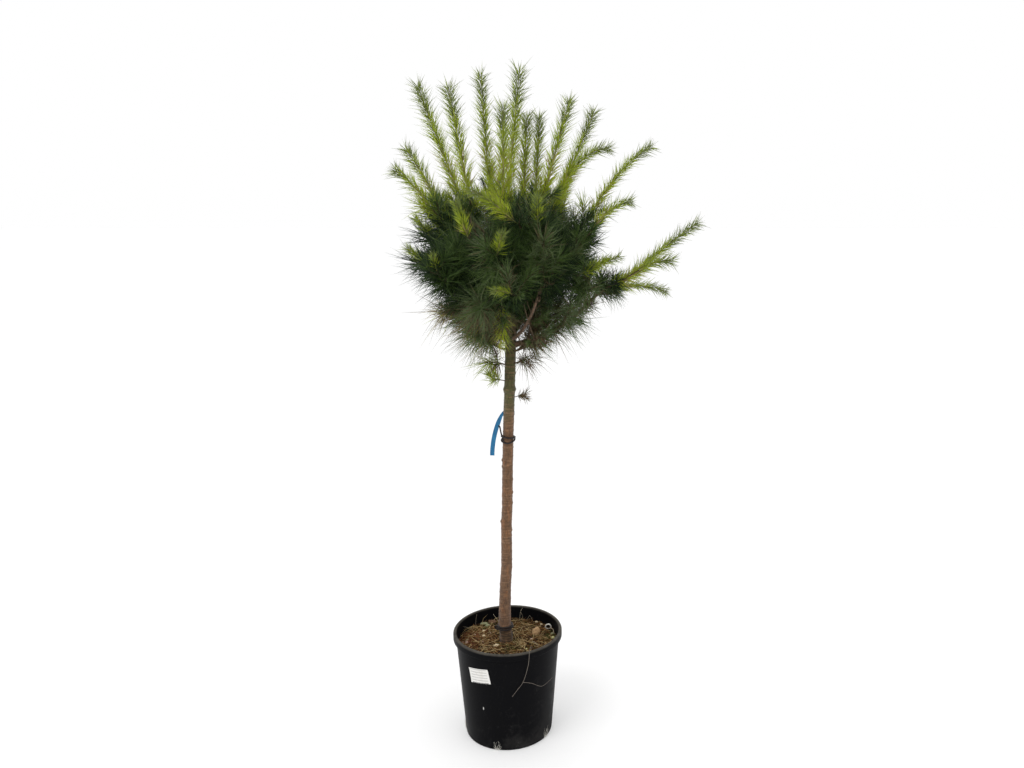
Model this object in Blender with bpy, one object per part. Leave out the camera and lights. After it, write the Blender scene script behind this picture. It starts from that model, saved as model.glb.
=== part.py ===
"""Potted stone pine, grown as a standard: a clear stem with a broad head of long dark needles and
pale upright new shoots, in a round black nursery pot.

Metres, +Z up. -Y is the side it is seen from and +X its right. The origin is the centre of the
pot's flat underside.
"""

import math
import random

import bmesh
import bpy
import numpy as np
from mathutils import Vector

UP = Vector((0, 0, 1))
GOLDEN_ANGLE = math.radians(137.5)
GAP = 0.0003

# Pot: a tapered wall, a flat floor and a rolled rim that is hollow underneath
POT_HEIGHT = 0.300
POT_FOOT_RADIUS = 0.1222
POT_NECK_RADIUS = 0.1445
POT_RIM_RADIUS = 0.1524
POT_RIM_DEPTH = 0.019
POT_RIM_ROUND = 0.0045
POT_WALL = 0.0026
POT_FLOOR = 0.0032
POT_CORNER = 0.004
POT_STEPS = 36
DRAIN_COUNT = 5
DRAIN_RADIUS = 0.0075
DRAIN_DEPTH = 0.012
DRAIN_START = -101

# Soil: it fills the pot to a little below the rim, and is flat under the trunk
SOIL_TOP = 0.265
SOIL_EDGE_DROP = 0.006
SOIL_FLAT_RADIUS = 0.034
SOIL_STEPS = 32

# Trunk
TRUNK_TOP = 1.385
TRUNK_RADIUS = 0.0144
TRUNK_TIP_RADIUS = 0.0060
TRUNK_FOOT_X = -0.0084
TRUNK_LEAN = 0.0332
TRUNK_WAVER = 0.0012
FLARE = 0.0042
FLARE_HEIGHT = 0.150
FOOT_RINGS = (0, 0.018, 0.040, 0.070)
CLEAR_START = 0.115
CLEAR_PITCH = 0.0765
CLEAR_RINGS = 8
CROWN_FOOT = 1.10
WHORL_HEIGHT = 0.988
WHORL_SWELL = 0.0030
WHORL_SPREAD = 0.007
TRUNK_SIDES = 14

# Boughs: name, height where it leaves the trunk, direction in degrees (0 is +X, 90 is +Y), reach
# from the trunk, rise, and radius at the trunk
BOUGHS = (
    ("low_right", 1.106, 3, 0.204, 0.110, 0.0085),
    ("low_front_right", 1.122, -49, 0.109, 0.105, 0.0065),
    ("low_front", 1.146, -100, 0.079, 0.060, 0.0055),
    ("low_left", 1.118, 204, 0.121, 0.100, 0.0065),
    ("low_back_left", 1.140, 142, 0.109, 0.070, 0.0065),
    ("low_back_right", 1.128, 72, 0.102, 0.070, 0.0065),
    ("high_right", 1.240, -12, 0.091, 0.085, 0.0060),
    ("high_front", 1.262, -81, 0.066, 0.080, 0.0055),
    ("high_left", 1.250, 190, 0.084, 0.085, 0.0060),
    ("high_back_left", 1.272, 140, 0.083, 0.080, 0.0055),
    ("high_back", 1.244, 92, 0.075, 0.085, 0.0055),
    ("high_back_right", 1.278, 42, 0.082, 0.080, 0.0055),
)
BOUGH_TIP_SHARE = 0.62
BOUGH_SIDES = 6
BOUGH_STEPS = 6

# New shoots that stand out: the mass each belongs to, where it starts, its tip, and how far its
# middle rises above the straight line as a share of its length
SHOOTS = (
    ("low_right", (0.331, 0.030, 1.281), (0.525, 0.040, 1.434), 0.02),
    ("low_right", (0.357, -0.040, 1.305), (0.452, -0.070, 1.335), 0.10),
    ("low_right", (0.311, 0.050, 1.254), (0.452, 0.070, 1.241), 0.08),
    ("low_right", (0.223, -0.100, 1.309), (0.287, -0.110, 1.346), 0.05),
    ("low_front_right", (0.238, -0.100, 1.412), (0.342, -0.120, 1.486), 0.14),
    ("low_front_right", (0.104, -0.180, 1.419), (0.106, -0.200, 1.499), 0.00),
    ("low_front", (0.042, -0.200, 1.258), (-0.009, -0.250, 1.272), 0.05),
    ("low_front", (0.010, -0.110, 1.165), (0.005, -0.130, 1.120), 0.05),
    ("low_left", (-0.185, -0.050, 1.322), (-0.245, -0.055, 1.374), 0.00),
    ("low_left", (-0.143, -0.150, 1.312), (-0.149, -0.180, 1.361), 0.00),
    ("low_back_left", (-0.156, 0.150, 1.320), (-0.227, 0.180, 1.420), -0.05),
    ("low_back_right", (0.111, 0.180, 1.290), (0.168, 0.240, 1.400), 0.04),
    ("high_right", (0.228, -0.030, 1.440), (0.392, -0.040, 1.624), 0.10),
    ("high_right", (0.128, 0.020, 1.444), (0.247, 0.030, 1.718), 0.00),
    ("high_right", (0.211, -0.060, 1.375), (0.247, -0.070, 1.405), 0.00),
    ("high_right", (0.177, 0.050, 1.335), (0.202, 0.060, 1.365), 0.00),
    ("high_front", (0.054, -0.200, 1.426), (-0.053, -0.260, 1.506), 0.04),
    ("high_front", (0.018, -0.120, 1.500), (0.023, -0.140, 1.708), 0.00),
    ("high_front", (0.008, -0.200, 1.350), (0.028, -0.250, 1.413), 0.00),
    ("high_left", (-0.068, -0.080, 1.480), (-0.115, -0.090, 1.760), 0.00),
    ("high_left", (-0.170, -0.050, 1.462), (-0.266, -0.060, 1.565), 0.08),
    ("high_left", (-0.178, 0.000, 1.390), (-0.230, 0.000, 1.450), 0.00),
    ("high_back_left", (-0.110, 0.050, 1.490), (-0.219, 0.060, 1.784), 0.00),
    ("high_back_left", (-0.171, 0.100, 1.471), (-0.270, 0.120, 1.633), 0.03),
    ("high_back", (0.083, 0.100, 1.480), (0.098, 0.120, 1.717), 0.00),
    ("high_back", (-0.028, 0.190, 1.420), (-0.047, 0.220, 1.600), 0.00),
    ("high_back_right", (0.135, 0.100, 1.480), (0.295, 0.130, 1.634), 0.18),
    ("high_back_right", (0.135, 0.160, 1.420), (0.183, 0.210, 1.590), 0.00),
    ("top", (-0.032, 0.050, 1.505), (-0.054, 0.080, 1.816), 0.00),
    ("top", (0.022, -0.015, 1.500), (0.056, -0.020, 1.809), 0.00),
    ("top", (0.118, -0.080, 1.504), (0.183, -0.100, 1.727), 0.00),
    ("top", (0.056, 0.055, 1.490), (0.067, 0.060, 1.710), 0.00),
    ("skirt_left", (-0.119, -0.030, 1.200), (-0.153, -0.040, 1.205), 0.05),
    ("skirt_left", (-0.062, 0.070, 1.155), (-0.094, 0.090, 1.155), 0.05),
    ("skirt_left", (-0.045, -0.090, 1.155), (-0.057, -0.120, 1.155), 0.05),
    ("skirt_right", (0.166, -0.030, 1.170), (0.211, -0.035, 1.185), 0.05),
    ("skirt_right", (0.090, -0.090, 1.135), (0.112, -0.120, 1.140), 0.05),
    ("skirt_right", (0.093, 0.060, 1.145), (0.117, 0.080, 1.150), 0.05),
    ("sprig_left", (-0.027, -0.020, 1.022), (-0.046, -0.030, 1.045), 0.00),
    ("sprig_right", (0.051, -0.005, 0.971), (0.071, -0.010, 0.960), 0.00),
    ("tuft_left", (-0.024, -0.030, 1.066), (-0.038, -0.040, 1.066), 0.00),
    ("tuft_right", (0.058, -0.018, 1.068), (0.074, -0.025, 1.062), 0.00),
)

# Masses of foliage: a stem on the bough's tip divides into twigs. The old part of each twig carries
# long needles, and a new shoot with short ones goes on from it.
# The head that they fill is an ellipsoid. A twig forks no more than the reach from its target, and
# bends no further from the heading of its parent than the cosines at a stem's fork and elsewhere.
HEAD_CENTRE = Vector((0.023, 0.0, 1.305))
HEAD_RADII = Vector((0.205, 0.205, 0.150))
FILL_TARGETS = 92
FILL_SPACING = 0.055
FILL_REACH = 0.20
FILL_FORWARD = (-0.3, 0.3)
FILL_SHOOT = 0.030
STEM_LENGTH = 0.026
TWIG_STEPS = 4
SHOOT_STEPS = 4
TWIG_RADIUS = 0.0032
SHOOT_RADIUS = 0.0027
SHOOT_TIP_RADIUS = 0.0009
CORE_TWIST = math.radians(47)

# Needles: length, lean from the twig at its foot and at its tip, and sag as a share of the length.
# The widths are what other growth keeps clear of at each third of a needle.
OLD_NEEDLES = (0.092, math.radians(66), math.radians(44), 0.10)
NEW_NEEDLES = (0.043, math.radians(42), math.radians(34), 0.0)
OLD_NEEDLE_PITCH = 0.0150
NEW_NEEDLE_PITCH = 0.0180
BARE_LENGTH = 0.020
NEEDLES_BEYOND = 0.020
NEEDLE_THIRDS = (0.0044, 0.0030, 0.0015)
OWN_SHARE = 0.9
SPACE_OVERLAP = 0.03
SWERVE = 0.014
SWERVE_TRIES = 25
SEED = 7

# Growths straight from the trunk: height, direction in degrees, and size of the needles
SPRIGS = {
    "skirt_left": (1.092, 201, 1.0),
    "skirt_right": (1.088, 322, 1.0),
    "sprig_left": (1.008, 205, 0.42),
    "sprig_right": (0.963, 350, 0.36),
    "tuft_left": (1.052, 218, 0.65),
    "tuft_right": (1.055, 330, 0.75),
}

# Ties, marker ribbon and sticker
TIE_RADIUS = 0.0019
TIE_TURNS = (("tie_low", 0.306, 2), ("tie_high", 0.852, 2))
TIE_PITCH = 0.0052
TIE_START = 100
TIE_SIDES = 5
TIE_STEPS = 16
RIBBON_WIDTH = 0.012
RIBBON_THICKNESS = 0.0006
RIBBON_TOP = 0.922
RIBBON_BOTTOM = 0.806
RIBBON_WOUND = (20, 170)
RIBBON_SWING = 0.031
RIBBON_TURN = 3
RIBBON_STEPS = 8
STICKER_WIDTH = 0.0645
STICKER_HEIGHT = 0.043
STICKER_THICKNESS = 0.0004
STICKER_CENTRE = 0.2232
STICKER_DIRECTION = math.radians(-119.3)
STICKER_TILT = math.radians(9)
STICKER_STEPS = 8

COLOURS = {
    "pot_plastic": ((0.018, 0.019, 0.021), 0.42),
    "soil_mix": ((0.115, 0.070, 0.038), 0.95),
    "bark": ((0.245, 0.165, 0.110), 0.88),
    "bough_bark": ((0.210, 0.145, 0.095), 0.85),
    "needles": ((0.060, 0.125, 0.045), 0.55),
    "tie_rubber": ((0.020, 0.018, 0.020), 0.60),
    "ribbon_plastic": ((0.015, 0.145, 0.400), 0.45),
    "sticker_paper": ((0.820, 0.820, 0.800), 0.70),
}


def clear_scene():
    for obj in list(bpy.data.objects):
        bpy.data.objects.remove(obj, do_unlink=True)


def material(slot):
    """The Principled material of that slot, made once."""
    found = bpy.data.materials.get(slot)
    if found:
        return found
    colour, roughness = COLOURS[slot]
    made = bpy.data.materials.new(slot)
    made.use_nodes = True
    shader = made.node_tree.nodes["Principled BSDF"]
    shader.inputs["Base Color"].default_value = (*colour, 1)
    shader.inputs["Roughness"].default_value = roughness
    shader.inputs["Metallic"].default_value = 0
    return made


def object_of(name, bm, slot, collection=None):
    """Turns a bmesh into a named object with its slot's material."""
    bmesh.ops.recalc_face_normals(bm, faces=bm.faces[:])
    mesh = bpy.data.meshes.new(name)
    bm.to_mesh(mesh)
    bm.free()
    mesh.materials.append(material(slot))
    obj = bpy.data.objects.new(name, mesh)
    (collection or bpy.context.scene.collection).objects.link(obj)
    return obj


def smooth(obj, degrees=40):
    obj.data.shade_smooth()
    obj.data.set_sharp_from_angle(angle=math.radians(degrees))
    return obj


def bake_modifiers(obj):
    """Replaces the object's mesh by what its modifiers make of it."""
    graph = bpy.context.evaluated_depsgraph_get()
    mesh = bpy.data.meshes.new_from_object(obj.evaluated_get(graph))
    obj.modifiers.clear()
    obj.data = mesh


def arc(centre, radius, start, end, steps):
    """Points of a circular arc in (radius, height), angles in degrees."""
    angles = [math.radians(start + (end - start) * k / steps) for k in range(steps + 1)]
    return [(centre[0] + radius * math.cos(a), centre[1] + radius * math.sin(a)) for a in angles]


def turned(name, profile, steps, slot):
    """A solid turned round the Z axis. Its profile is (radius, height) points from axis to axis."""
    bm = bmesh.new()
    points = [bm.verts.new((r, 0, z)) for r, z in profile]
    edges = [bm.edges.new(pair) for pair in zip(points, points[1:])]
    bmesh.ops.spin(bm, geom=points + edges, axis=UP, angle=math.tau, steps=steps, use_merge=True)
    bmesh.ops.remove_doubles(bm, verts=bm.verts[:], dist=1e-6)
    return object_of(name, bm, slot)


def frames(path):
    """Heading and two side directions at each point, turned as little as possible along the way."""
    last = len(path) - 1
    side = None
    made = []
    for k in range(last + 1):
        heading = (path[min(k + 1, last)] - path[max(k - 1, 0)]).normalized()
        side = (heading.orthogonal() if side is None else side - side.dot(heading) * heading).normalized()
        made.append((heading, side, heading.cross(side)))
    return made


def limb(path, radii, sides, is_level=False):
    """A closed tapering tube as a bmesh, its rings square to the path or all level."""
    bm = bmesh.new()
    level = (UP, Vector((1, 0, 0)), Vector((0, 1, 0)))
    turns = [math.tau * k / sides for k in range(sides)]
    rings = []
    for point, radius, square in zip(path, radii, frames(path)):
        _, across, over = level if is_level else square
        corners = [point + radius * (math.cos(a) * across + math.sin(a) * over) for a in turns]
        rings.append([bm.verts.new(corner) for corner in corners])
    for lower, upper in zip(rings, rings[1:]):
        for k in range(sides):
            bm.faces.new((lower[k], lower[(k + 1) % sides], upper[(k + 1) % sides], upper[k]))
    bm.faces.new(rings[0])
    bm.faces.new(rings[-1])
    return bm


def hermite(start, leaving, end, arriving, steps):
    """Points of a smooth curve that leaves and arrives in the given directions."""
    points = []
    for k in range(steps + 1):
        t = k / steps
        points.append(
            start * (2 * t**3 - 3 * t**2 + 1)
            + leaving * (t**3 - 2 * t**2 + t)
            + end * (3 * t**2 - 2 * t**3)
            + arriving * (t**3 - t**2)
        )
    return points


def compass(degrees):
    return Vector((math.cos(math.radians(degrees)), math.sin(math.radians(degrees)), 0))


def wall_radius(height):
    """Outer radius of the pot's wall at a height."""
    return POT_FOOT_RADIUS + (POT_NECK_RADIUS - POT_FOOT_RADIUS) * height / (POT_HEIGHT - POT_RIM_DEPTH)


def make_pot():
    under_rim = POT_HEIGHT - POT_RIM_DEPTH
    ceiling = POT_HEIGHT - POT_WALL
    lip = POT_RIM_RADIUS - POT_RIM_ROUND
    mouth = wall_radius(POT_HEIGHT) - POT_WALL
    profile = [(0, 0), (POT_FOOT_RADIUS - POT_CORNER, 0)]
    profile += arc((POT_FOOT_RADIUS - POT_CORNER, POT_CORNER), POT_CORNER, -60, 0, 2)
    profile += [(wall_radius(ceiling), ceiling), (POT_RIM_RADIUS - POT_WALL, ceiling)]
    profile += [(POT_RIM_RADIUS - POT_WALL, under_rim), (POT_RIM_RADIUS, under_rim)]
    profile += arc((lip, POT_HEIGHT - POT_RIM_ROUND), POT_RIM_ROUND, 0, 90, 3)
    profile += arc((mouth + POT_WALL, POT_HEIGHT - POT_WALL), POT_WALL, 90, 180, 2)
    profile += [(wall_radius(POT_FLOOR) - POT_WALL, POT_FLOOR), (0, POT_FLOOR)]
    pot = smooth(turned("pot", profile, POT_STEPS, "pot_plastic"))
    drains = bpy.data.collections.new("drains")
    bpy.context.scene.collection.children.link(drains)
    for k in range(DRAIN_COUNT):
        outward = compass(DRAIN_START + 360 * k / DRAIN_COUNT)
        ends = [outward * (POT_FOOT_RADIUS + side) for side in (-DRAIN_DEPTH, DRAIN_DEPTH)]
        cutter = object_of(f"drain_{k}", limb(ends, [DRAIN_RADIUS] * 2, 10), "pot_plastic", drains)
        cutter.hide_render = True
        cutter.display_type = "WIRE"
    cut = pot.modifiers.new("drains", "BOOLEAN")
    cut.operation = "DIFFERENCE"
    cut.operand_type = "COLLECTION"
    cut.collection = drains


def make_soil():
    bottom = POT_FLOOR + GAP
    edge = SOIL_TOP - SOIL_EDGE_DROP
    inside = POT_WALL + 3 * GAP
    profile = [
        (0, bottom),
        (wall_radius(bottom) - inside, bottom),
        (wall_radius(edge) - inside, edge),
        (wall_radius(edge) - 0.030, edge + 0.6 * SOIL_EDGE_DROP),
        (SOIL_FLAT_RADIUS, SOIL_TOP),
        (0, SOIL_TOP),
    ]
    smooth(turned("soil", profile, SOIL_STEPS, "soil_mix"), 30)


def trunk_axis(height):
    """Centre of the trunk at a height: it leans a little to the right and wavers."""
    above = height - SOIL_TOP
    return Vector(
        (
            TRUNK_FOOT_X + TRUNK_LEAN * above + TRUNK_WAVER * math.sin(9 * above),
            TRUNK_WAVER * math.sin(7 * above),
            height,
        )
    )


def trunk_radius(height):
    """Radius of the trunk: a flare at the foot, a swollen whorl, and a taper inside the crown."""
    flare = FLARE * math.exp(-(height - SOIL_TOP) / FLARE_HEIGHT)
    swell = WHORL_SWELL * math.exp(-(((height - WHORL_HEIGHT) / WHORL_SPREAD) ** 2))
    inside = max(0, (height - CROWN_FOOT) / (TRUNK_TOP - CROWN_FOOT))
    return TRUNK_RADIUS + (TRUNK_TIP_RADIUS - TRUNK_RADIUS) * inside + flare + swell


def trunk_levels():
    """Heights of the trunk's rings: close together at the flare and at the whorl."""
    foot = SOIL_TOP + GAP
    flare = [foot + rise for rise in FOOT_RINGS]
    clear = [foot + CLEAR_START + CLEAR_PITCH * k for k in range(CLEAR_RINGS)]
    whorl = [WHORL_HEIGHT + WHORL_SPREAD * share for share in (-2.2, -1, 0, 1, 2.2)]
    crown = [CROWN_FOOT + (TRUNK_TOP - CROWN_FOOT) * k / 5 for k in range(6)]
    return flare + clear + whorl + crown


def make_trunk():
    levels = trunk_levels()
    path = [trunk_axis(z) for z in levels]
    radii = [trunk_radius(z) for z in levels]
    smooth(object_of("trunk", limb(path, radii, TRUNK_SIDES, is_level=True), "bark"))


def bough_path(height, degrees, reach, rise):
    """The bough's centre line from the trunk's axis: it leaves outwards and turns up."""
    start = trunk_axis(height)
    end = start + reach * compass(degrees) + rise * UP
    leaving = 1.25 * reach * compass(degrees) + 0.45 * rise * UP
    arriving = 0.75 * reach * compass(degrees) + 1.5 * rise * UP
    return hermite(start, leaving, end, arriving, BOUGH_STEPS)


def taper(thick, thin, count):
    return [thick + (thin - thick) * k / (count - 1) for k in range(count)]


def make_boughs():
    """Builds the boughs, each cut to sit on the trunk's side, and returns their paths and radii."""
    levels = trunk_levels()
    clear_radii = [trunk_radius(z) + 1.5 * GAP for z in levels]
    clearance = limb([trunk_axis(z) for z in levels], clear_radii, TRUNK_SIDES, is_level=True)
    cutter = object_of("trunk_clearance", clearance, "bark")
    cutter.hide_render = True
    cutter.display_type = "WIRE"
    made = {}
    for name, height, degrees, reach, rise, thick in BOUGHS:
        path = bough_path(height, degrees, reach, rise)
        radii = taper(thick, thick * BOUGH_TIP_SHARE, len(path))
        bough = object_of("bough_" + name, limb(path, radii, BOUGH_SIDES), "bough_bark")
        seat = bough.modifiers.new("seat", "BOOLEAN")
        seat.operation = "DIFFERENCE"
        seat.object = cutter
        smooth(bough)
        made[name] = (path, radii)
    return made


class Clearance:
    """Everything built so far as straight rods with an owner, so that new growth can keep clear."""

    def __init__(self, most=60000):
        self.rods = np.zeros((most, 7))
        self.owners = np.zeros(most, int)
        self.names = {}
        self.count = 0

    def add(self, owner, path, radii):
        number = self.names.setdefault(owner, len(self.names))
        for k in range(len(path) - 1):
            self.rods[self.count] = (*path[k], *path[k + 1], max(radii[k], radii[k + 1]))
            self.owners[self.count] = number
            self.count += 1

    def is_free(self, path, radii, owner, own_share):
        """True if the path keeps clear of every rod. Its owner's rods count at a share of the gap."""
        rods = self.rods[: self.count]
        own = self.owners[: self.count] == self.names.get(owner, -1)
        shares = np.where(own, own_share, 1.0)
        for k in range(len(path) - 1):
            a, b = np.array(path[k]), np.array(path[k + 1])
            reach = (rods[:, 6] + max(radii[k], radii[k + 1]) + 2 * GAP) * shares
            low = np.minimum(rods[:, :3], rods[:, 3:6]) - reach[:, None]
            high = np.maximum(rods[:, :3], rods[:, 3:6]) + reach[:, None]
            near = (high > np.minimum(a, b)).all(1) & (low < np.maximum(a, b)).all(1) & (shares > 0)
            if near.any():
                close = rods[near]
                if (rod_distances(a, b, close[:, :3], close[:, 3:6]) < reach[near]).any():
                    return False
        return True


def rod_distances(start, end, starts, ends):
    """Shortest distance from one straight rod to each of many."""
    along, alongs = end - start, ends - starts
    apart = start - starts
    own, other = along @ along, (alongs * alongs).sum(1)
    mixed, lead, trail = alongs @ along, apart @ along, (alongs * apart).sum(1)
    s = np.clip((mixed * trail - lead * other) / np.maximum(own * other - mixed**2, 1e-12), 0, 1)
    t = np.clip((mixed * s + trail) / other, 0, 1)
    s = np.clip((mixed * t - lead) / own, 0, 1)
    nearest = apart + s[:, None] * along - t[:, None] * alongs
    return np.sqrt((nearest**2).sum(1))


def size_of(name):
    """How large the twigs and needles of a mass are, next to those of the head."""
    return SPRIGS[name][2] if name in SPRIGS else 1


class Twig:
    """An old twig from its fork, and the new shoot that goes on from it to a tip."""

    def __init__(self, fork, heading, base, tip, bow, size, swerve):
        self.size = size
        base = base + swerve
        tip = tip - (tip - base).normalized() * min(NEEDLES_BEYOND, 0.5 * (tip - base).length)
        rise = 4 * bow * (tip - base).length
        shares = [k / SHOOT_STEPS for k in range(SHOOT_STEPS + 1)]
        self.new = [base.lerp(tip, t) + UP * rise * t * (1 - t) for t in shares]
        span = (base - fork).length
        arriving = (self.new[1] - self.new[0]).normalized()
        self.old = hermite(fork, heading * span, base, arriving * span, TWIG_STEPS)

    def tube(self):
        """Path and radii of the twig and its shoot together."""
        return self.old + self.new[1:], self.radii(len(self.old), len(self.new))

    def radii(self, old_count, new_count):
        """Radii at points along the old part and along the new shoot."""
        radii = taper(TWIG_RADIUS, SHOOT_RADIUS, old_count)
        radii += taper(SHOOT_RADIUS, SHOOT_TIP_RADIUS, new_count)[1:]
        return [radius * self.size for radius in radii]


def swerves(heading):
    """Ways to bend a twig aside, least first."""
    _, across, over = frames([Vector(), heading])[0]
    for k in range(SWERVE_TRIES):
        away = SWERVE * math.sqrt(k)
        yield away * (math.cos(k * GOLDEN_ANGLE) * across + math.sin(k * GOLDEN_ANGLE) * over)


def free_twig(name, fork, heading, base, tip, bow, clearance):
    """The least bent twig to the tip that keeps clear of everything else, or None."""
    for swerve in swerves((tip - fork).normalized()):
        twig = Twig(fork, heading, base, tip, bow, size_of(name), swerve)
        path, radii = twig.tube()
        if clearance.is_free(path, radii, name, 0):
            clearance.add(name, path, radii)
            return twig
    return None


def grow_shoots(name, fork, heading, clearance):
    """The twigs of one mass whose new shoots stand out of the head."""
    twigs = []
    for owner, base, tip, bow in SHOOTS:
        if owner == name:
            twigs.append(free_twig(name, fork, heading, Vector(base), Vector(tip), bow, clearance))
    return [twig for twig in twigs if twig]


def fill_targets():
    """Points spread evenly through the head, from the inside out."""
    shares = [1 - 0.6 * (k * 0.618034 % 1) ** 1.5 for k in range(FILL_TARGETS)]
    targets = []
    for k, share in enumerate(shares):
        z = 1 - 2 * (k + 0.5) / FILL_TARGETS
        ring = math.sqrt(1 - z * z)
        ray = Vector((ring * math.cos(k * GOLDEN_ANGLE), ring * math.sin(k * GOLDEN_ANGLE), z))
        targets.append((share, HEAD_CENTRE + share * ray * HEAD_RADII))
    return [target for _, target in sorted(targets, key=lambda pair: pair[0])]


def forks_towards(target, growth):
    """Places on the masses' old twigs that a twig to the target can fork from, nearest first."""
    found = []
    for name, twigs in growth.items():
        if name in SPRIGS:
            continue
        for twig in twigs:
            for k in range(len(twig.old) - 1):
                heading = (twig.old[k + 1] - twig.old[k]).normalized()
                reach = target - twig.old[k]
                forward = heading.dot(reach) / reach.length
                if 0.03 < reach.length < FILL_REACH and forward > FILL_FORWARD[k > 0]:
                    found.append((reach.length * (1 + 0.1 * len(twigs)), name, twig.old[k], heading))
    return sorted(found, key=lambda fork: fork[0])


def grow_fill(growth, clearance):
    """Twigs that fill the head up between the shoots, each on the mass that reaches it best."""
    rng = random.Random(SEED)
    for target in 2 * fill_targets():
        grown = [twig for twigs in growth.values() for twig in twigs]
        ends = [twig.old[-1] for twig in grown] + [twig.old[2] for twig in grown]
        if min((target - end).length for end in ends) < FILL_SPACING:
            continue
        for _, name, fork, heading in forks_towards(target, growth)[:4]:
            ray = (target - fork).normalized()
            start = (heading + ray).normalized()
            base = target - (ray + 0.4 * UP).normalized() * FILL_SHOOT * rng.uniform(0.6, 1.5)
            twig = free_twig(name, fork, start, base, target, 0, clearance)
            if twig:
                growth[name].append(twig)
                break


def resample(path, pitch, first):
    """Points along the path: its start, one after the first distance, and then one each pitch."""
    lengths = [(b - a).length for a, b in zip(path, path[1:])]
    total = sum(lengths)
    count = max(2, round((total - first) / pitch))
    wanted = [first + (total - first) * k / count for k in range(count + 1)]
    points, k, passed = [path[0]], 0, 0
    for distance in wanted:
        while k < len(lengths) - 1 and passed + lengths[k] < distance:
            passed += lengths[k]
            k += 1
        if distance > 0:
            points.append(path[k].lerp(path[k + 1], (distance - passed) / lengths[k]))
    return points


def core_rings(path, radii):
    """Three corners round each point of the path, each ring turned on from the last."""
    rings = []
    for k, (point, radius, (_, across, over)) in enumerate(zip(path, radii, frames(path))):
        turns = [k * CORE_TWIST + math.tau * j / 3 for j in range(3)]
        rings.append([point + radius * (math.cos(a) * across + math.sin(a) * over) for a in turns])
    return rings


def is_nearest(point, name, homes):
    """True if the point is in the mass's own space: no other mass's home is clearly nearer."""
    limit = (point - homes[name]).length - SPACE_OVERLAP
    return all((point - home).length > limit for home in homes.values())


def needle_tips(name, path, radii, kinds, clearance, homes, rng):
    """Tips of the needles that find room on a core, by its section and side."""
    rings = core_rings(path, radii)
    widths = [*NEEDLE_THIRDS, 0]
    tips = {}
    for k in range(1, len(path) - 1):
        length, lean, last_lean, sag = kinds[k]
        lean += (last_lean - lean) * k / len(path)
        heading = (path[k + 1] - path[k]).normalized()
        for j in range(3):
            corners = [rings[k][j], rings[k][(j + 1) % 3], rings[k + 1][(j + 1) % 3], rings[k + 1][j]]
            root = sum(corners, Vector()) / 4
            outward = (root - path[k].lerp(path[k + 1], 0.5)).normalized()
            ray = math.cos(lean) * heading + math.sin(lean) * outward - sag * UP
            tip = root + ray * length * size_of(name) * rng.uniform(0.85, 1.12)
            rods = [root.lerp(tip, third / 3) for third in range(4)]
            has_room = kinds[k] is NEW_NEEDLES or is_nearest(tip, name, homes)
            has_room = has_room and clearance.is_free(rods[1:], widths[1:], name, OWN_SHARE)
            if has_room and clearance.is_free(rods[:2], widths[:2], name, 0):
                tips[k, j] = tip
                clearance.add(name, rods, widths)
    return tips


def core(path, radii, tips):
    """A three-sided core as a bmesh. A side that has a tip is drawn out to it as a needle."""
    bm = bmesh.new()
    rings = [[bm.verts.new(corner) for corner in ring] for ring in core_rings(path, radii)]
    for k, (lower, upper) in enumerate(zip(rings, rings[1:])):
        for j in range(3):
            corners = [lower[j], lower[(j + 1) % 3], upper[(j + 1) % 3], upper[j]]
            if (k, j) not in tips:
                bm.faces.new(corners)
                continue
            point = bm.verts.new(tips[k, j])
            for a, b in zip(corners, corners[1:] + corners[:1]):
                bm.faces.new((a, b, point))
    bm.faces.new(rings[0])
    bm.faces.new(rings[-1])
    return bm


def pieces_of(name, twigs, clearance, homes, rng):
    """The cores of a mass's twigs with their needles, long on the old part and short on the shoot."""
    pieces = []
    for twig in twigs:
        bare = min(BARE_LENGTH, 0.3 * (twig.old[-1] - twig.old[0]).length)
        old = resample(twig.old, OLD_NEEDLE_PITCH, bare)
        new = resample(twig.new, NEW_NEEDLE_PITCH, 0)
        path = old + new[1:]
        radii = twig.radii(len(old), len(new))
        kinds = [OLD_NEEDLES] * (len(old) - 1) + [NEW_NEEDLES] * (len(new) - 1)
        tips = needle_tips(name, path, radii, kinds, clearance, homes, rng)
        pieces.append(core(path, radii, tips))
    return pieces


def fuse(name, pieces, slot):
    """Joins closed bmeshes by one Boolean union, and drops what stays loose or sealed inside."""
    first, *rest = pieces
    obj = object_of(name, first, slot)
    joined = bpy.data.collections.new(name + "_pieces")
    for k, piece in enumerate(rest):
        object_of(f"{name}_piece_{k}", piece, slot, joined)
    union = obj.modifiers.new("union", "BOOLEAN")
    union.operation = "UNION"
    union.operand_type = "COLLECTION"
    union.collection = joined
    union.solver = "MANIFOLD"
    bpy.context.view_layer.update()
    bake_modifiers(obj)
    for piece in list(joined.objects):
        bpy.data.objects.remove(piece, do_unlink=True)
    bpy.data.collections.remove(joined)
    keep_largest_shell(obj)
    return obj


def keep_largest_shell(obj):
    """Cuts the mesh into triangles and deletes every shell of it but the one with the most faces."""
    bm = bmesh.new()
    bm.from_mesh(obj.data)
    bmesh.ops.triangulate(bm, faces=bm.faces[:])
    left = set(bm.faces)
    shells = []
    while left:
        shell, edge = set(), [left.pop()]
        while edge:
            face = edge.pop()
            shell.add(face)
            near = {f for e in face.edges if len(e.link_faces) == 2 for f in e.link_faces} & left
            left -= near
            edge += near
        shells.append(shell)
    for shell in sorted(shells, key=len)[:-1]:
        bmesh.ops.delete(bm, geom=list(shell), context="FACES")
    bm.to_mesh(obj.data)
    bm.free()


def stem_of(tip, heading, radius, length):
    """The short stem of a mass, just clear of the limb it goes on from."""
    start = tip + heading * 1.5 * GAP
    return [start, start + heading * length], [radius, 0.8 * radius]


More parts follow.
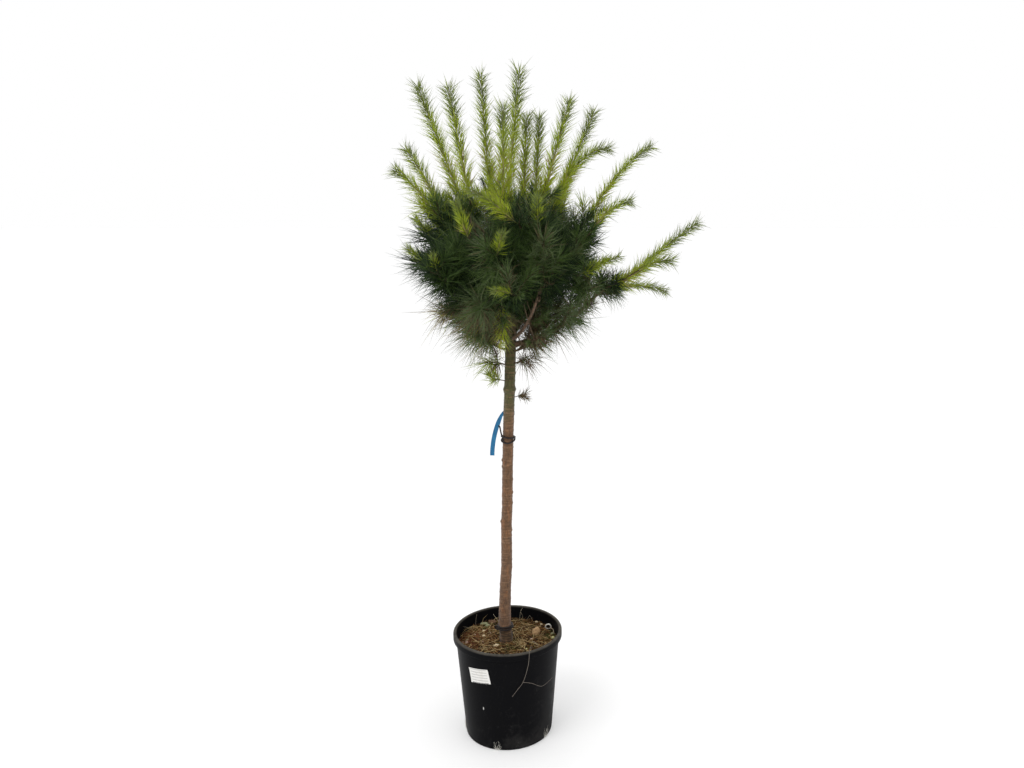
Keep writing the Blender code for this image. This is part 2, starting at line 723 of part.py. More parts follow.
def starts_of(boughs):
    """Where each mass starts, its heading there and its stem's radius and length."""
    starts = {}
    for name, (path, radii) in boughs.items():
        starts[name] = (path[-1], (path[-1] - path[-2]).normalized(), radii[-1], STEM_LENGTH)
    lean = (trunk_axis(TRUNK_TOP) - trunk_axis(TRUNK_TOP - 0.01)).normalized()
    starts["top"] = (trunk_axis(TRUNK_TOP), lean, TRUNK_TIP_RADIUS, STEM_LENGTH)
    for name, (height, degrees, size) in SPRIGS.items():
        heading = (compass(degrees) + 0.3 * UP).normalized()
        radius = 0.0034 * size
        seat = trunk_axis(height) + heading * (1.04 * trunk_radius(height) + 0.3 * radius)
        starts[name] = (seat, heading, radius, 0.014 * size)
    return starts


def make_masses(boughs):
    """Grows every twig first, so that each mass keeps clear of the rest, and then the needles."""
    clearance = Clearance()
    levels = trunk_levels()
    clearance.add("trunk", [trunk_axis(z) for z in levels], [trunk_radius(z) for z in levels])
    for name, (path, radii) in boughs.items():
        clearance.add("bough_" + name, path, radii)
    stems, forks, headings = {}, {}, {}
    for name, (seat, heading, radius, length) in starts_of(boughs).items():
        stems[name] = stem_of(seat, heading, radius, length)
        forks[name] = stems[name][0][1] - heading * 0.25 * length
        headings[name] = heading
        clearance.add(name, *stems[name])
    growth = {name: grow_shoots(name, forks[name], headings[name], clearance) for name in stems}
    grow_fill(growth, clearance)
    homes = {
        name: sum((twig.old[-1] for twig in twigs), Vector()) / len(twigs)
        for name, twigs in growth.items()
    }
    for index, (name, twigs) in enumerate(growth.items()):
        rng = random.Random(SEED * 100 + index)
        pieces = [limb(*stems[name], BOUGH_SIDES)]
        pieces += pieces_of(name, twigs, clearance, homes, rng)
        fuse("mass_" + name, pieces, "needles")


def make_ties():
    """Each tie is a cord wound round the trunk, a little clear of the bark."""
    for name, height, turns in TIE_TURNS:
        steps = TIE_STEPS * turns
        path = []
        for k in range(steps + 1):
            angle = TIE_START + 360 * turns * k / steps
            level = height + TIE_PITCH * turns * (k / steps - 0.5)
            radius = trunk_radius(level) + TIE_RADIUS + 3 * GAP
            path.append(trunk_axis(level) + radius * compass(angle))
        smooth(object_of(name, limb(path, [TIE_RADIUS] * len(path), TIE_SIDES), "tie_rubber"), 60)


def strip(path, ups, width, thickness):
    """A closed thin strip along a path. Each width runs along that point's up direction."""
    bm = bmesh.new()
    rings = []
    for (heading, _, _), point, up in zip(frames(path), path, ups):
        out = heading.cross(up).normalized() * thickness / 2
        half = up * width / 2
        corners = (point - half - out, point + half - out, point + half + out, point - half + out)
        rings.append([bm.verts.new(corner) for corner in corners])
    for lower, upper in zip(rings, rings[1:]):
        for k in range(4):
            bm.faces.new((lower[k], lower[(k + 1) % 4], upper[(k + 1) % 4], upper[k]))
    bm.faces.new(rings[0])
    bm.faces.new(rings[-1])
    return bm


def make_ribbon():
    """The marker ribbon is wound round the back of the trunk and hangs down on the left."""
    first, last = RIBBON_WOUND
    path_radius = trunk_radius(RIBBON_TOP) + 3 * GAP + RIBBON_THICKNESS / 2
    path, ups = [], []
    for k in range(RIBBON_STEPS + 1):
        angle = first + (last - first) * k / RIBBON_STEPS
        path.append(trunk_axis(RIBBON_TOP) + path_radius * compass(angle))
        ups.append(UP)
    side = path[-1]
    for k in range(1, RIBBON_STEPS + 1):
        t = k / RIBBON_STEPS
        out = -RIBBON_SWING * (1 - (1 - t) ** 1.8)
        path.append(side + Vector((out, -0.006 * t, (RIBBON_BOTTOM - RIBBON_TOP) * t**1.15)))
        fall = path[-1] - path[-2]
        flat = Vector((fall.z, 0, -fall.x)).normalized()
        ups.append(UP.lerp(flat, min(1, RIBBON_TURN * t)).normalized())
    ribbon = strip(path, ups, RIBBON_WIDTH, RIBBON_THICKNESS)
    smooth(object_of("ribbon", ribbon, "ribbon_plastic"))


def make_sticker():
    """A blank paper sticker that follows the pot's wall."""
    bm = bmesh.new()
    sheets = []
    for depth in (2 * GAP, 2 * GAP + STICKER_THICKNESS):
        grid = []
        for v in (-STICKER_HEIGHT / 2, STICKER_HEIGHT / 2):
            for k in range(STICKER_STEPS + 1):
                u = STICKER_WIDTH * (k / STICKER_STEPS - 0.5)
                across = u * math.cos(STICKER_TILT) - v * math.sin(STICKER_TILT)
                height = STICKER_CENTRE + u * math.sin(STICKER_TILT) + v * math.cos(STICKER_TILT)
                radius = wall_radius(height) + depth
                angle = STICKER_DIRECTION + across / radius
                grid.append(bm.verts.new((radius * math.cos(angle), radius * math.sin(angle), height)))
        sheets.append(grid)
    width = STICKER_STEPS + 1
    for grid in sheets:
        for k in range(STICKER_STEPS):
            bm.faces.new((grid[k], grid[k + 1], grid[k + 1 + width], grid[k + width]))
    border = list(range(width)) + list(range(2 * width - 1, width - 1, -1))
    for a, b in zip(border, border[1:] + border[:1]):
        bm.faces.new((sheets[0][a], sheets[0][b], sheets[1][b], sheets[1][a]))
    smooth(object_of("sticker", bm, "sticker_paper"))


def main():
    clear_scene()
    make_pot()
    make_soil()
    make_trunk()
    make_masses(make_boughs())
    make_ties()
    make_ribbon()
    make_sticker()


main()
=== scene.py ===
"""Looks of a potted stone pine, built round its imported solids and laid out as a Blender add-on.

Metres, +Z up. -Y is the side it is seen from. The limbs and twigs grow by the source's rule, which
is written again here and carried on to finer twigs and single needles.
"""

import functools
import itertools
import math
import random

import bmesh
import bpy
import numpy as np
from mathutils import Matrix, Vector, noise


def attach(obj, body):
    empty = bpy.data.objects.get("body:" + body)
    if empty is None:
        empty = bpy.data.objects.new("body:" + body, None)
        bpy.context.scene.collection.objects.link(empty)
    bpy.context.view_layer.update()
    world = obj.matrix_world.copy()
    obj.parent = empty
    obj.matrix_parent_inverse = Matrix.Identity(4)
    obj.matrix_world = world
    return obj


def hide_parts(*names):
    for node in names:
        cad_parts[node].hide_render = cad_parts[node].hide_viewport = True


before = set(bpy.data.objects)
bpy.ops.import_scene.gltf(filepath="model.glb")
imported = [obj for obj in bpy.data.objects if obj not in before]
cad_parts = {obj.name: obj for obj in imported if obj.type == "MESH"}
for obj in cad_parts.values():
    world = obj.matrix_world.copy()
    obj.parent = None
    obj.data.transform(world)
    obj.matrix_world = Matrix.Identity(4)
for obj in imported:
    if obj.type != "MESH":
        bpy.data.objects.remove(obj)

bl_info = {
    "name": "Potted stone pine",
    "version": (1, 0, 0),
    "blender": (4, 5, 0),
    "location": "View3D > Sidebar > Stone pine",
    "description": "Builds the bark, twigs, needles, pot, soil and studio of a potted stone pine",
    "category": "Object",
}

UP = Vector((0, 0, 1))
GOLDEN_ANGLE = math.radians(137.5)
GAP = 0.0003

# The pot, the soil and the trunk, as in the source
POT_HEIGHT = 0.300
POT_FOOT_RADIUS = 0.1222
POT_NECK_RADIUS = 0.1445
POT_RIM_RADIUS = 0.1524
POT_RIM_DEPTH = 0.019
POT_RIM_ROUND = 0.0045
POT_WALL = 0.0026
POT_FLOOR = 0.0032
POT_CORNER = 0.004
DRAIN_COUNT = 5
DRAIN_RADIUS = 0.0075
DRAIN_START = -101
SOIL_TOP = 0.265
SOIL_EDGE_DROP = 0.006
SOIL_FLAT_RADIUS = 0.034
TRUNK_TOP = 1.385
TRUNK_RADIUS = 0.0144
TRUNK_TIP_RADIUS = 0.0060
TRUNK_FOOT_X = -0.0084
TRUNK_LEAN = 0.0332
TRUNK_WAVER = 0.0012
FLARE = 0.0042
FLARE_HEIGHT = 0.150
FOOT_RINGS = (0, 0.018, 0.040, 0.070)
CLEAR_START = 0.115
CLEAR_PITCH = 0.0765
CLEAR_RINGS = 8
CROWN_FOOT = 1.10
WHORL_HEIGHT = 0.988
WHORL_SWELL = 0.0030
WHORL_SPREAD = 0.007
WHORL_RINGS = (-2.2, -1, 0, 1, 2.2)
CROWN_RINGS = 5

# Boughs, as in the source: name, height, direction in degrees, reach, rise and radius
BOUGHS = (
    ("low_right", 1.106, 3, 0.204, 0.110, 0.0085),
    ("low_front_right", 1.122, -49, 0.109, 0.105, 0.0065),
    ("low_front", 1.146, -100, 0.079, 0.060, 0.0055),
    ("low_left", 1.118, 204, 0.121, 0.100, 0.0065),
    ("low_back_left", 1.140, 142, 0.109, 0.070, 0.0065),
    ("low_back_right", 1.128, 72, 0.102, 0.070, 0.0065),
    ("high_right", 1.240, -12, 0.091, 0.085, 0.0060),
    ("high_front", 1.262, -81, 0.066, 0.080, 0.0055),
    ("high_left", 1.250, 190, 0.084, 0.085, 0.0060),
    ("high_back_left", 1.272, 140, 0.083, 0.080, 0.0055),
    ("high_back", 1.244, 92, 0.075, 0.085, 0.0055),
    ("high_back_right", 1.278, 42, 0.082, 0.080, 0.0055),
)
BOUGH_TIP_SHARE = 0.62
BOUGH_STEPS = 6
BOUGH_LEAVING = (1.25, 0.45)
BOUGH_ARRIVING = (0.75, 1.5)

# New shoots that stand out, as in the source: mass, foot, tip and bow
SHOOTS = (
    ("low_right", (0.331, 0.030, 1.281), (0.525, 0.040, 1.434), 0.02),
    ("low_right", (0.357, -0.040, 1.305), (0.452, -0.070, 1.335), 0.10),
    ("low_right", (0.311, 0.050, 1.254), (0.452, 0.070, 1.241), 0.08),
    ("low_right", (0.223, -0.100, 1.309), (0.287, -0.110, 1.346), 0.05),
    ("low_front_right", (0.238, -0.100, 1.412), (0.342, -0.120, 1.486), 0.14),
    ("low_front_right", (0.104, -0.180, 1.419), (0.106, -0.200, 1.499), 0.00),
    ("low_front", (0.042, -0.200, 1.258), (-0.009, -0.250, 1.272), 0.05),
    ("low_front", (0.010, -0.110, 1.165), (0.005, -0.130, 1.120), 0.05),
    ("low_left", (-0.185, -0.050, 1.322), (-0.245, -0.055, 1.374), 0.00),
    ("low_left", (-0.143, -0.150, 1.312), (-0.149, -0.180, 1.361), 0.00),
    ("low_back_left", (-0.156, 0.150, 1.320), (-0.227, 0.180, 1.420), -0.05),
    ("low_back_right", (0.111, 0.180, 1.290), (0.168, 0.240, 1.400), 0.04),
    ("high_right", (0.228, -0.030, 1.440), (0.392, -0.040, 1.624), 0.10),
    ("high_right", (0.128, 0.020, 1.444), (0.247, 0.030, 1.718), 0.00),
    ("high_right", (0.211, -0.060, 1.375), (0.247, -0.070, 1.405), 0.00),
    ("high_right", (0.177, 0.050, 1.335), (0.202, 0.060, 1.365), 0.00),
    ("high_front", (0.054, -0.200, 1.426), (-0.053, -0.260, 1.506), 0.04),
    ("high_front", (0.018, -0.120, 1.500), (0.023, -0.140, 1.708), 0.00),
    ("high_front", (0.008, -0.200, 1.350), (0.028, -0.250, 1.413), 0.00),
    ("high_left", (-0.068, -0.080, 1.480), (-0.115, -0.090, 1.760), 0.00),
    ("high_left", (-0.170, -0.050, 1.462), (-0.266, -0.060, 1.565), 0.08),
    ("high_left", (-0.178, 0.000, 1.390), (-0.230, 0.000, 1.450), 0.00),
    ("high_back_left", (-0.110, 0.050, 1.490), (-0.219, 0.060, 1.784), 0.00),
    ("high_back_left", (-0.171, 0.100, 1.471), (-0.270, 0.120, 1.633), 0.03),
    ("high_back", (0.083, 0.100, 1.480), (0.098, 0.120, 1.717), 0.00),
    ("high_back", (-0.028, 0.190, 1.420), (-0.047, 0.220, 1.600), 0.00),
    ("high_back_right", (0.135, 0.100, 1.480), (0.295, 0.130, 1.634), 0.18),
    ("high_back_right", (0.135, 0.160, 1.420), (0.183, 0.210, 1.590), 0.00),
    ("top", (-0.032, 0.050, 1.505), (-0.054, 0.080, 1.816), 0.00),
    ("top", (0.022, -0.015, 1.500), (0.056, -0.020, 1.809), 0.00),
    ("top", (0.118, -0.080, 1.504), (0.183, -0.100, 1.727), 0.00),
    ("top", (0.056, 0.055, 1.490), (0.067, 0.060, 1.710), 0.00),
    ("skirt_left", (-0.119, -0.030, 1.200), (-0.153, -0.040, 1.205), 0.05),
    ("skirt_left", (-0.062, 0.070, 1.155), (-0.094, 0.090, 1.155), 0.05),
    ("skirt_left", (-0.045, -0.090, 1.155), (-0.057, -0.120, 1.155), 0.05),
    ("skirt_right", (0.166, -0.030, 1.170), (0.211, -0.035, 1.185), 0.05),
    ("skirt_right", (0.090, -0.090, 1.135), (0.112, -0.120, 1.140), 0.05),
    ("skirt_right", (0.093, 0.060, 1.145), (0.117, 0.080, 1.150), 0.05),
    ("sprig_left", (-0.027, -0.020, 1.022), (-0.046, -0.030, 1.045), 0.00),
    ("sprig_right", (0.051, -0.005, 0.971), (0.071, -0.010, 0.960), 0.00),
    ("tuft_left", (-0.024, -0.030, 1.066), (-0.038, -0.040, 1.066), 0.00),
    ("tuft_right", (0.058, -0.018, 1.068), (0.074, -0.025, 1.062), 0.00),
)

# The small masses below the head: height, direction in degrees and size
SPRIGS = {
    "skirt_left": (1.092, 201, 1.0),
    "skirt_right": (1.088, 322, 1.0),
    "sprig_left": (1.008, 205, 0.42),
    "sprig_right": (0.963, 350, 0.36),
    "tuft_left": (1.052, 218, 0.65),
    "tuft_right": (1.055, 330, 0.75),
}

# The head, and the twigs that fill it up between the shoots, as in the source
HEAD_CENTRE = Vector((0.023, 0.0, 1.305))
HEAD_RADII = Vector((0.205, 0.205, 0.150))
FILL_TARGETS = 92
FILL_SPACING = 0.055
FILL_REACH = 0.20
FILL_FORWARD = (-0.3, 0.3)
FILL_SHOOT = 0.030
FILL_SHOOTS = (0.6, 1.5)
FILL_RISE = 0.4
FILL_INSET = 0.6
FILL_CROWDING = 1.5
FILL_LEAST = 0.03
FILL_TRIES = 4
CROWDED_COST = 0.1
GOLDEN_SHARE = 0.618034

# Stems and twigs, as in the source
STEM_LENGTH = 0.026
STEM_TAPER = 0.8
STEM_FORK = 0.25
SPRIG_RISE = 0.3
SPRIG_RADIUS = 0.0034
SPRIG_LENGTH = 0.014
SPRIG_SEAT = (1.04, 0.3)
TWIG_STEPS = 4
SHOOT_STEPS = 4
TWIG_RADIUS = 0.0032
SHOOT_RADIUS = 0.0027
SHOOT_TIP_RADIUS = 0.0009
NEEDLES_BEYOND = 0.020
SWERVE = 0.014
SWERVE_TRIES = 25
SEED = 7

# The masses whose needles and twigs go into one piece together
REGIONS = {
    "right": ("low_right", "high_right", "skirt_right", "tuft_right", "sprig_right"),
    "front": ("low_front_right", "low_front", "high_front"),
    "left": ("low_left", "high_left", "skirt_left", "tuft_left", "sprig_left"),
    "back_left": ("low_back_left", "high_back_left"),
    "back": ("low_back_right", "high_back", "high_back_right"),
    "top": ("top",),
}

# Tints that are dealt out by spray, each beside those that a few of its needles may take instead
NEEDLE_TINTS = ("deep", "dark", "mid", "silver", "umber", "rust", "straw", "lime", "fresh", "tip")
WOOD_TINTS = ("bark", "green_stem")
LITTER_TINTS = ("straw", "tan", "rust", "umber", "olive", "moss", "red")

# How far litter stays inside the wall, and how close together it is pushed where it would cut it
LITTER_MARGIN = 0.0016
LITTER_SQUEEZE = 0.015

# How much more a needle curls where it hangs
HANG_CURL = 9.0


# Nodes


class Wire:
    """A node's output. A sum with it adds the node that works the sum out."""

    def __init__(self, tree, socket):
        self.tree, self.socket = tree, socket

    def sum(self, operation, other):
        return maths(operation, self, other)

    __add__ = functools.partialmethod(sum, "ADD")
    __sub__ = functools.partialmethod(sum, "SUBTRACT")
    __mul__ = functools.partialmethod(sum, "MULTIPLY")
    __truediv__ = functools.partialmethod(sum, "DIVIDE")

    def ramp(self, low, high, to_low=0.0, to_high=1.0):
        """The value moved from one range to another and clamped."""
        values = {"Value": self, "From Min": low, "From Max": high, "To Min": to_low, "To Max": to_high}
        return wire(self.tree, "ShaderNodeMapRange", values)

    def noise(self, scale, detail=3.0, rough=0.5):
        values = {"Vector": self, "Scale": scale, "Detail": detail, "Roughness": rough}
        return wire(self.tree, "ShaderNodeTexNoise", values)

    def split(self):
        return wire(self.tree, "ShaderNodeSeparateXYZ", {"Vector": self}, "XYZ")


def wire(tree, kind, values=None, outputs=None, **settings):
    """Adds a node with wires or plain values at its inputs, and returns its first or named outputs."""
    made = tree.nodes.new(kind)
    for key, setting in settings.items():
        setattr(made, key, setting)
    for key, value in (values or {}).items():
        if isinstance(key, int):
            socket = made.inputs[key]
        else:
            socket = next(s for s in made.inputs if s.enabled and s.name == key)
        if isinstance(value, Wire):
            tree.links.new(value.socket, socket)
        else:
            socket.default_value = value
    if outputs:
        return [Wire(tree, made.outputs[name]) for name in outputs]
    return Wire(tree, next(s for s in made.outputs if s.enabled))


def maths(operation, *values):
    """A sum of wires and numbers, by vectors if its first wire is one."""
    first = next(value for value in values if isinstance(value, Wire))
    kind = "ShaderNodeVectorMath" if first.socket.type == "VECTOR" else "ShaderNodeMath"
    return wire(first.tree, kind, dict(enumerate(values)), operation=operation)


SOCKET_KINDS = {float: "Float", int: "Int", tuple: "Vector"}


class GeometryTree:
    """A geometry node group with named inputs, where a string stands for an input's kind."""

    def __init__(self, name, tints, inputs):
        self.tints = tints
        self.tree = bpy.data.node_groups.new(name, "GeometryNodeTree")
        self.tree.is_modifier = True
        self.tree.interface.new_socket("Geometry", in_out="OUTPUT", socket_type="NodeSocketGeometry")
        inputs = {"Geometry": "Geometry", **inputs, **dict.fromkeys(tints, "Material")}
        for label, given in inputs.items():
            kind = given if isinstance(given, str) else SOCKET_KINDS[type(given)]
            face = self.tree.interface.new_socket(label, in_out="INPUT", socket_type="NodeSocket" + kind)
            if kind != given:
                face.default_value = given
        self.given = self.tree.nodes.new("NodeGroupInput").outputs

    def __getitem__(self, label):
        return Wire(self.tree, self.given[label])

    def step(self, kind, values=None, outputs=None, **settings):
        return wire(self.tree, "GeometryNode" + kind, values, outputs, **settings)

    def named(self, name, data_type="FLOAT"):
        return self.step("InputNamedAttribute", {"Name": name}, data_type=data_type)

    def stored(self, geometry, name, value, data_type, domain="POINT"):
        values = {"Geometry": geometry, "Name": name, "Value": value}
        return self.step("StoreNamedAttribute", values, data_type=data_type, domain=domain)

    def chance(self, low, high, salt, data_type="FLOAT"):
        """A random value for each point. The salt sets it apart from the tree's other ones."""
        values = {"Min": low, "Max": high, "Seed": self["Seed"] + salt}
        return wire(self.tree, "FunctionNodeRandomValue", values, data_type=data_type)

    def combined(self, **values):
        return wire(self.tree, "ShaderNodeCombineXYZ", values)

    def stand(self, points, aim, length, width, sway):
        """Blades on the points, each turned to its aim and then bent along its length by its sway."""
        values = {"Axis": (0, 0, 1), "Angle": self.chance(0.0, math.tau, 11)}
        values = {"Rotation": wire(self.tree, "FunctionNodeAxisAngleToRotation", values), "Vector": aim}
        rotation = wire(self.tree, "FunctionNodeAlignRotationToVector", values, axis="Z")
        (blade,) = self.step("ObjectInfo", {"Object": self["Blade"]}, ["Geometry"])
        values = {"Points": points, "Instance": blade, "Rotation": rotation}
        values["Scale"] = self.combined(X=width, Y=width, Z=length)
        blades = self.stored(self.step("InstanceOnPoints", values), "sway", sway, "FLOAT_VECTOR", "INSTANCE")
        solid = self.step("RealizeInstances", {"Geometry": blades})
        bend = self.named("sway", "FLOAT_VECTOR") * maths("POWER", self.named("along"), 2.0)
        return self.step("SetPosition", {"Geometry": solid, "Offset": bend})

    def kept_in(self, geometry):
        """Moves what would cut the pot's wall back inside it."""
        place = self.step("InputPosition")
        flat = place * (1, 1, 0)
        slope = (POT_NECK_RADIUS - POT_FOOT_RADIUS) / (POT_HEIGHT - POT_RIM_DEPTH)
        foot = POT_FOOT_RADIUS - POT_WALL - LITTER_MARGIN
        share = maths("MULTIPLY_ADD", place.split()[2], slope, foot) / maths("LENGTH", flat)
        share = maths("MULTIPLY_ADD", share, 1 - LITTER_SQUEEZE, LITTER_SQUEEZE - 1)
        shift = flat * maths("MINIMUM", share, 0.0)
        return self.step("SetPosition", {"Geometry": geometry, "Offset": shift})

    def finish(self, geometry):
        """Sets each tint's material where the tint attribute says so, and ends the tree."""
        geometry = self.step("RealizeInstances", {"Geometry": geometry})
        geometry = self.step("SetShadeSmooth", {"Geometry": geometry})
        for k, tint in enumerate(self.tints):
            values = {"A": self.named("tint", "INT"), "B": k}
            is_tint = wire(self.tree, "FunctionNodeCompare", values, data_type="INT", operation="EQUAL")
            values = {"Geometry": geometry, "Selection": is_tint, "Material": self[tint]}
            geometry = self.step("SetMaterial", values)
        end = self.tree.nodes.new("NodeGroupOutput")
        self.tree.links.new(geometry.socket, end.inputs["Geometry"])
        return self.tree


@functools.cache
def spray_group():
    """Needles along lines, golden angles apart, that lean out and hang a little."""
    spreads = {"Length Spread": 0.3, "Lean Spread": 0.30, "Curl": 0.12, "Seed": 1}
    inputs = {"Blade": "Object", "Pitch": 0.0016, "Width": 0.0007, **spreads}
    tree = GeometryTree("needle_spray", NEEDLE_TINTS, inputs)
    curve = tree.step("MeshToCurve", {"Mesh": tree["Geometry"]})
    values = {"Curve": curve, "Length": tree["Pitch"]}
    outputs = ("Points", "Tangent", "Normal")
    points, tangent, normal = tree.step("CurveToPoints", values, outputs, mode="LENGTH")
    turn = tree.step("InputIndex") * GOLDEN_ANGLE + tree.chance(-0.6, 0.6, 1)
    over = maths("CROSS_PRODUCT", tangent, normal) * maths("SINE", turn)
    outward = normal * maths("COSINE", turn) + over
    lean = tree.named("lean") + tree.chance(-1.0, 1.0, 2) * tree["Lean Spread"]
    aim = tangent * maths("COSINE", lean) + outward * maths("SINE", lean)
    length = tree.named("reach") * (tree.chance(-1.0, 0.4, 3) * tree["Length Spread"] + 1.0)
    width = tree["Width"] * tree.chance(0.85, 1.15, 4)
    curl = tree["Curl"] * length * maths("MULTIPLY_ADD", tree.named("hang"), HANG_CURL, 1.0)
    hung = tree.named("hang") * length * tree.chance(-1.5, -0.4, 6)
    sway = tree.chance((-1, -1, -1), (1, 1, 1), 5, "FLOAT_VECTOR") * curl + tree.combined(Z=hung)
    tint = tree.named("tint", "INT") + maths("ROUND", tree.chance(-0.75, 0.75, 7))
    tint = maths("MINIMUM", maths("MAXIMUM", tint, 0.0), len(NEEDLE_TINTS) - 1.0)
    sown = tree.stored(points, "tint", tint, "INT")
    return tree.finish(tree.stand(sown, aim, length, width, sway))


@functools.cache
def wood_group():
    """A round skin along each line, as thick as its points say."""
    tree = GeometryTree("twig_wood", WOOD_TINTS, {"Sides": 6})
    curve = tree.step("MeshToCurve", {"Mesh": tree["Geometry"]})
    ring = tree.step("CurvePrimitiveCircle", {"Resolution": tree["Sides"], "Radius": 1.0})
    values = {"Curve": curve, "Profile Curve": ring, "Scale": tree.named("thick"), "Fill Caps": True}
    return tree.finish(tree.step("CurveToMesh", values))


@functools.cache
def litter_group():
    """Blades strewn over a surface, lying down or standing up, thicker in patches."""
    where = {"Patchiness": 0.0, "Patch Size": 0.05, "Centre": (0, 0, 0), "Spread": 10.0}
    blades = {"Length": 0.03, "Width": 0.0006, "Rise": 0.15, "Curl": 0.15, "First Tint": 0, "Last Tint": 3}
    inputs = {"Blade": "Object", "Density": 4000.0, **where, **blades, "Seed": 1}
    tree = GeometryTree("soil_litter", LITTER_TINTS, inputs)
    place = tree.step("InputPosition")
    low = tree["Patchiness"] * 0.5
    cloud = place.noise(maths("DIVIDE", 1.0, tree["Patch Size"]), 2.0)
    away = maths("DISTANCE", place * (1, 1, 0), tree["Centre"])
    near = away.ramp(tree["Spread"] * 0.4, tree["Spread"], 1.0, 0.0)
    share = cloud.ramp(low, low + 0.08) * near
    values = {"Mesh": tree["Geometry"], "Density": tree["Density"], "Seed": tree["Seed"]}
    strewn = tree.step("DistributePointsOnFaces", values)
    thin = maths("GREATER_THAN", tree.chance(0.0, 1.0, 21), share)
    strewn = tree.step("DeleteGeometry", {"Geometry": strewn, "Selection": thin})
    yaw = tree.chance(0.0, math.tau, 22)
    rise = tree["Rise"] * tree.chance(-0.3, 1.0, 23)
    aim = tree.combined(X=maths("COSINE", yaw), Y=maths("SINE", yaw), Z=rise)
    length = tree["Length"] * tree.chance(0.35, 1.0, 24)
    width = tree["Width"] * tree.chance(0.7, 1.3, 25)
    sway = tree.chance((-1, -1, -0.35), (1, 1, 0.1), 26, "FLOAT_VECTOR") * (tree["Curl"] * length)
    tint = tree.chance(tree["First Tint"], tree["Last Tint"], 27, "INT")
    strewn = tree.stored(strewn, "tint", tint, "INT")
    return tree.finish(tree.kept_in(tree.stand(strewn, aim, length, width, sway)))


def grown(name, start, group, values):
    """Runs a node group on a mesh and returns what it makes as a plain mesh object."""
    obj = linked(name, start)
    modifier = obj.modifiers.new("grow", "NODES")
    modifier.node_group = group
    for item in group.interface.items_tree:
        if item.item_type == "SOCKET" and item.name in values:
            modifier[item.identifier] = values[item.name]
    made = plain_mesh(obj).attributes
    for attribute in [a.name for a in made if a.name in Lines.NAMES + ("along", "sway")]:
        made.remove(made[attribute])
    return obj


# Meshes


def linked(name, data):
    obj = bpy.data.objects.new(name, data)
    bpy.context.scene.collection.objects.link(obj)
    return obj


def plain_mesh(obj):
    """Gives the object the mesh that its modifiers make, in place of them."""
    graph = bpy.context.evaluated_depsgraph_get()
    made = bpy.data.meshes.new_from_object(obj.evaluated_get(graph))
    obj.modifiers.clear()
    obj.data = made
    return made


def mesh_object(name, bm, *materials, is_smooth=True):
    """Turns a bmesh into a linked object with outward faces."""
    bmesh.ops.recalc_face_normals(bm, faces=bm.faces[:])
    data = bpy.data.meshes.new(name)
    bm.to_mesh(data)
    bm.free()
    for material in materials:
        data.materials.append(material)
    data.polygons.foreach_set("use_smooth", [is_smooth] * len(data.polygons))
    return linked(name, data)


def fit(obj, slot, *nodes):
    """Lets the piece ride on the plant's body, in place of its nodes. The slot is not used."""
    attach(obj, "root")
    if nodes:
        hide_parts(*nodes)


class Lines:
    """Lines with attributes on their points, as the start of a node group."""

    NAMES = ("lean", "reach", "hang", "tint", "thick")

    def __init__(self):
        self.points, self.edges = [], []
        self.values = {name: [] for name in self.NAMES}

    def add(self, path, **values):
        """Each value is a number, or a pair that it runs between along the path."""
        first, last = len(self.points), len(path) - 1
        self.points += [tuple(point) for point in path]
        self.edges += [(first + k, first + k + 1) for k in range(last)]
        for name, given in self.values.items():
            value = values.get(name, 0)
            if isinstance(value, tuple):
                given += [value[0] + (value[1] - value[0]) * k / last for k in range(last + 1)]
            else:
                given += [value] * (last + 1)

    def mesh(self, name):
        made = bpy.data.meshes.new(name)
        made.from_pydata(self.points, self.edges, [])
        for attribute, given in self.values.items():
            kind = "INT" if attribute == "tint" else "FLOAT"
            made.attributes.new(attribute, kind, "POINT").data.foreach_set("value", given)
        return made


def loft(bm, rings, is_capped=False):
    """Faces from each ring of corners to the next. A ring of one corner is a pole."""
    count = max(len(ring) for ring in rings)
    for lower, upper in zip(rings, rings[1:]):
        for k in range(count):
            corners = [lower[k % len(lower)], lower[(k + 1) % len(lower)]]
            corners += [upper[(k + 1) % len(upper)], upper[k % len(upper)]]
            bm.faces.new(list(dict.fromkeys(corners)))
    if is_capped:
        bm.faces.new(rings[0])
        bm.faces.new(rings[-1])


def turned(bm, profile, steps):
    """A closed turned surface. Profile points at radius 0 become its poles."""
    rings = []
    for radius, height in profile:
        turns = [math.tau * k / steps for k in range(steps if radius else 1)]
        rings.append([bm.verts.new((radius * math.cos(a), radius * math.sin(a), height)) for a in turns])
    loft(bm, rings)


LONG_BLADE = ("long_blade", (1.0, 0.10), (0.85, 0.55))
SHORT_BLADE = ("short_blade", (1.0, 0.35))


@functools.cache
def blade(name, *rings):
    """A closed three-sided blade along Z, one long. Each ring is a width and a height."""
    bm = bmesh.new()
    turned(bm, [(0, 0), *rings, (0, 1)], 3)
    obj = mesh_object(name, bm)
    bpy.context.scene.collection.objects.unlink(obj)
    heights = [vertex.co.z for vertex in obj.data.vertices]
    obj.data.attributes.new("along", "FLOAT", "POINT").data.foreach_set("value", heights)
    return obj


def compass(degrees):
    return Vector((math.cos(math.radians(degrees)), math.sin(math.radians(degrees)), 0))


def rays(count):
    return [compass(360 * k / count) for k in range(count)]


def arc(centre, radius, start, end, steps):
    turns = [math.radians(start + (end - start) * k / steps) for k in range(steps + 1)]
    return [(centre[0] + radius * math.cos(a), centre[1] + radius * math.sin(a)) for a in turns]


def hermite(start, leaving, end, arriving, steps):
    """Points of a smooth curve between two ends with given velocities."""
    points = []
    for k in range(steps + 1):
        t = k / steps
        points.append(
            (2 * t**3 - 3 * t**2 + 1) * start
            + (t**3 - 2 * t**2 + t) * leaving
            + (3 * t**2 - 2 * t**3) * end
            + (t**3 - t**2) * arriving
        )
    return points


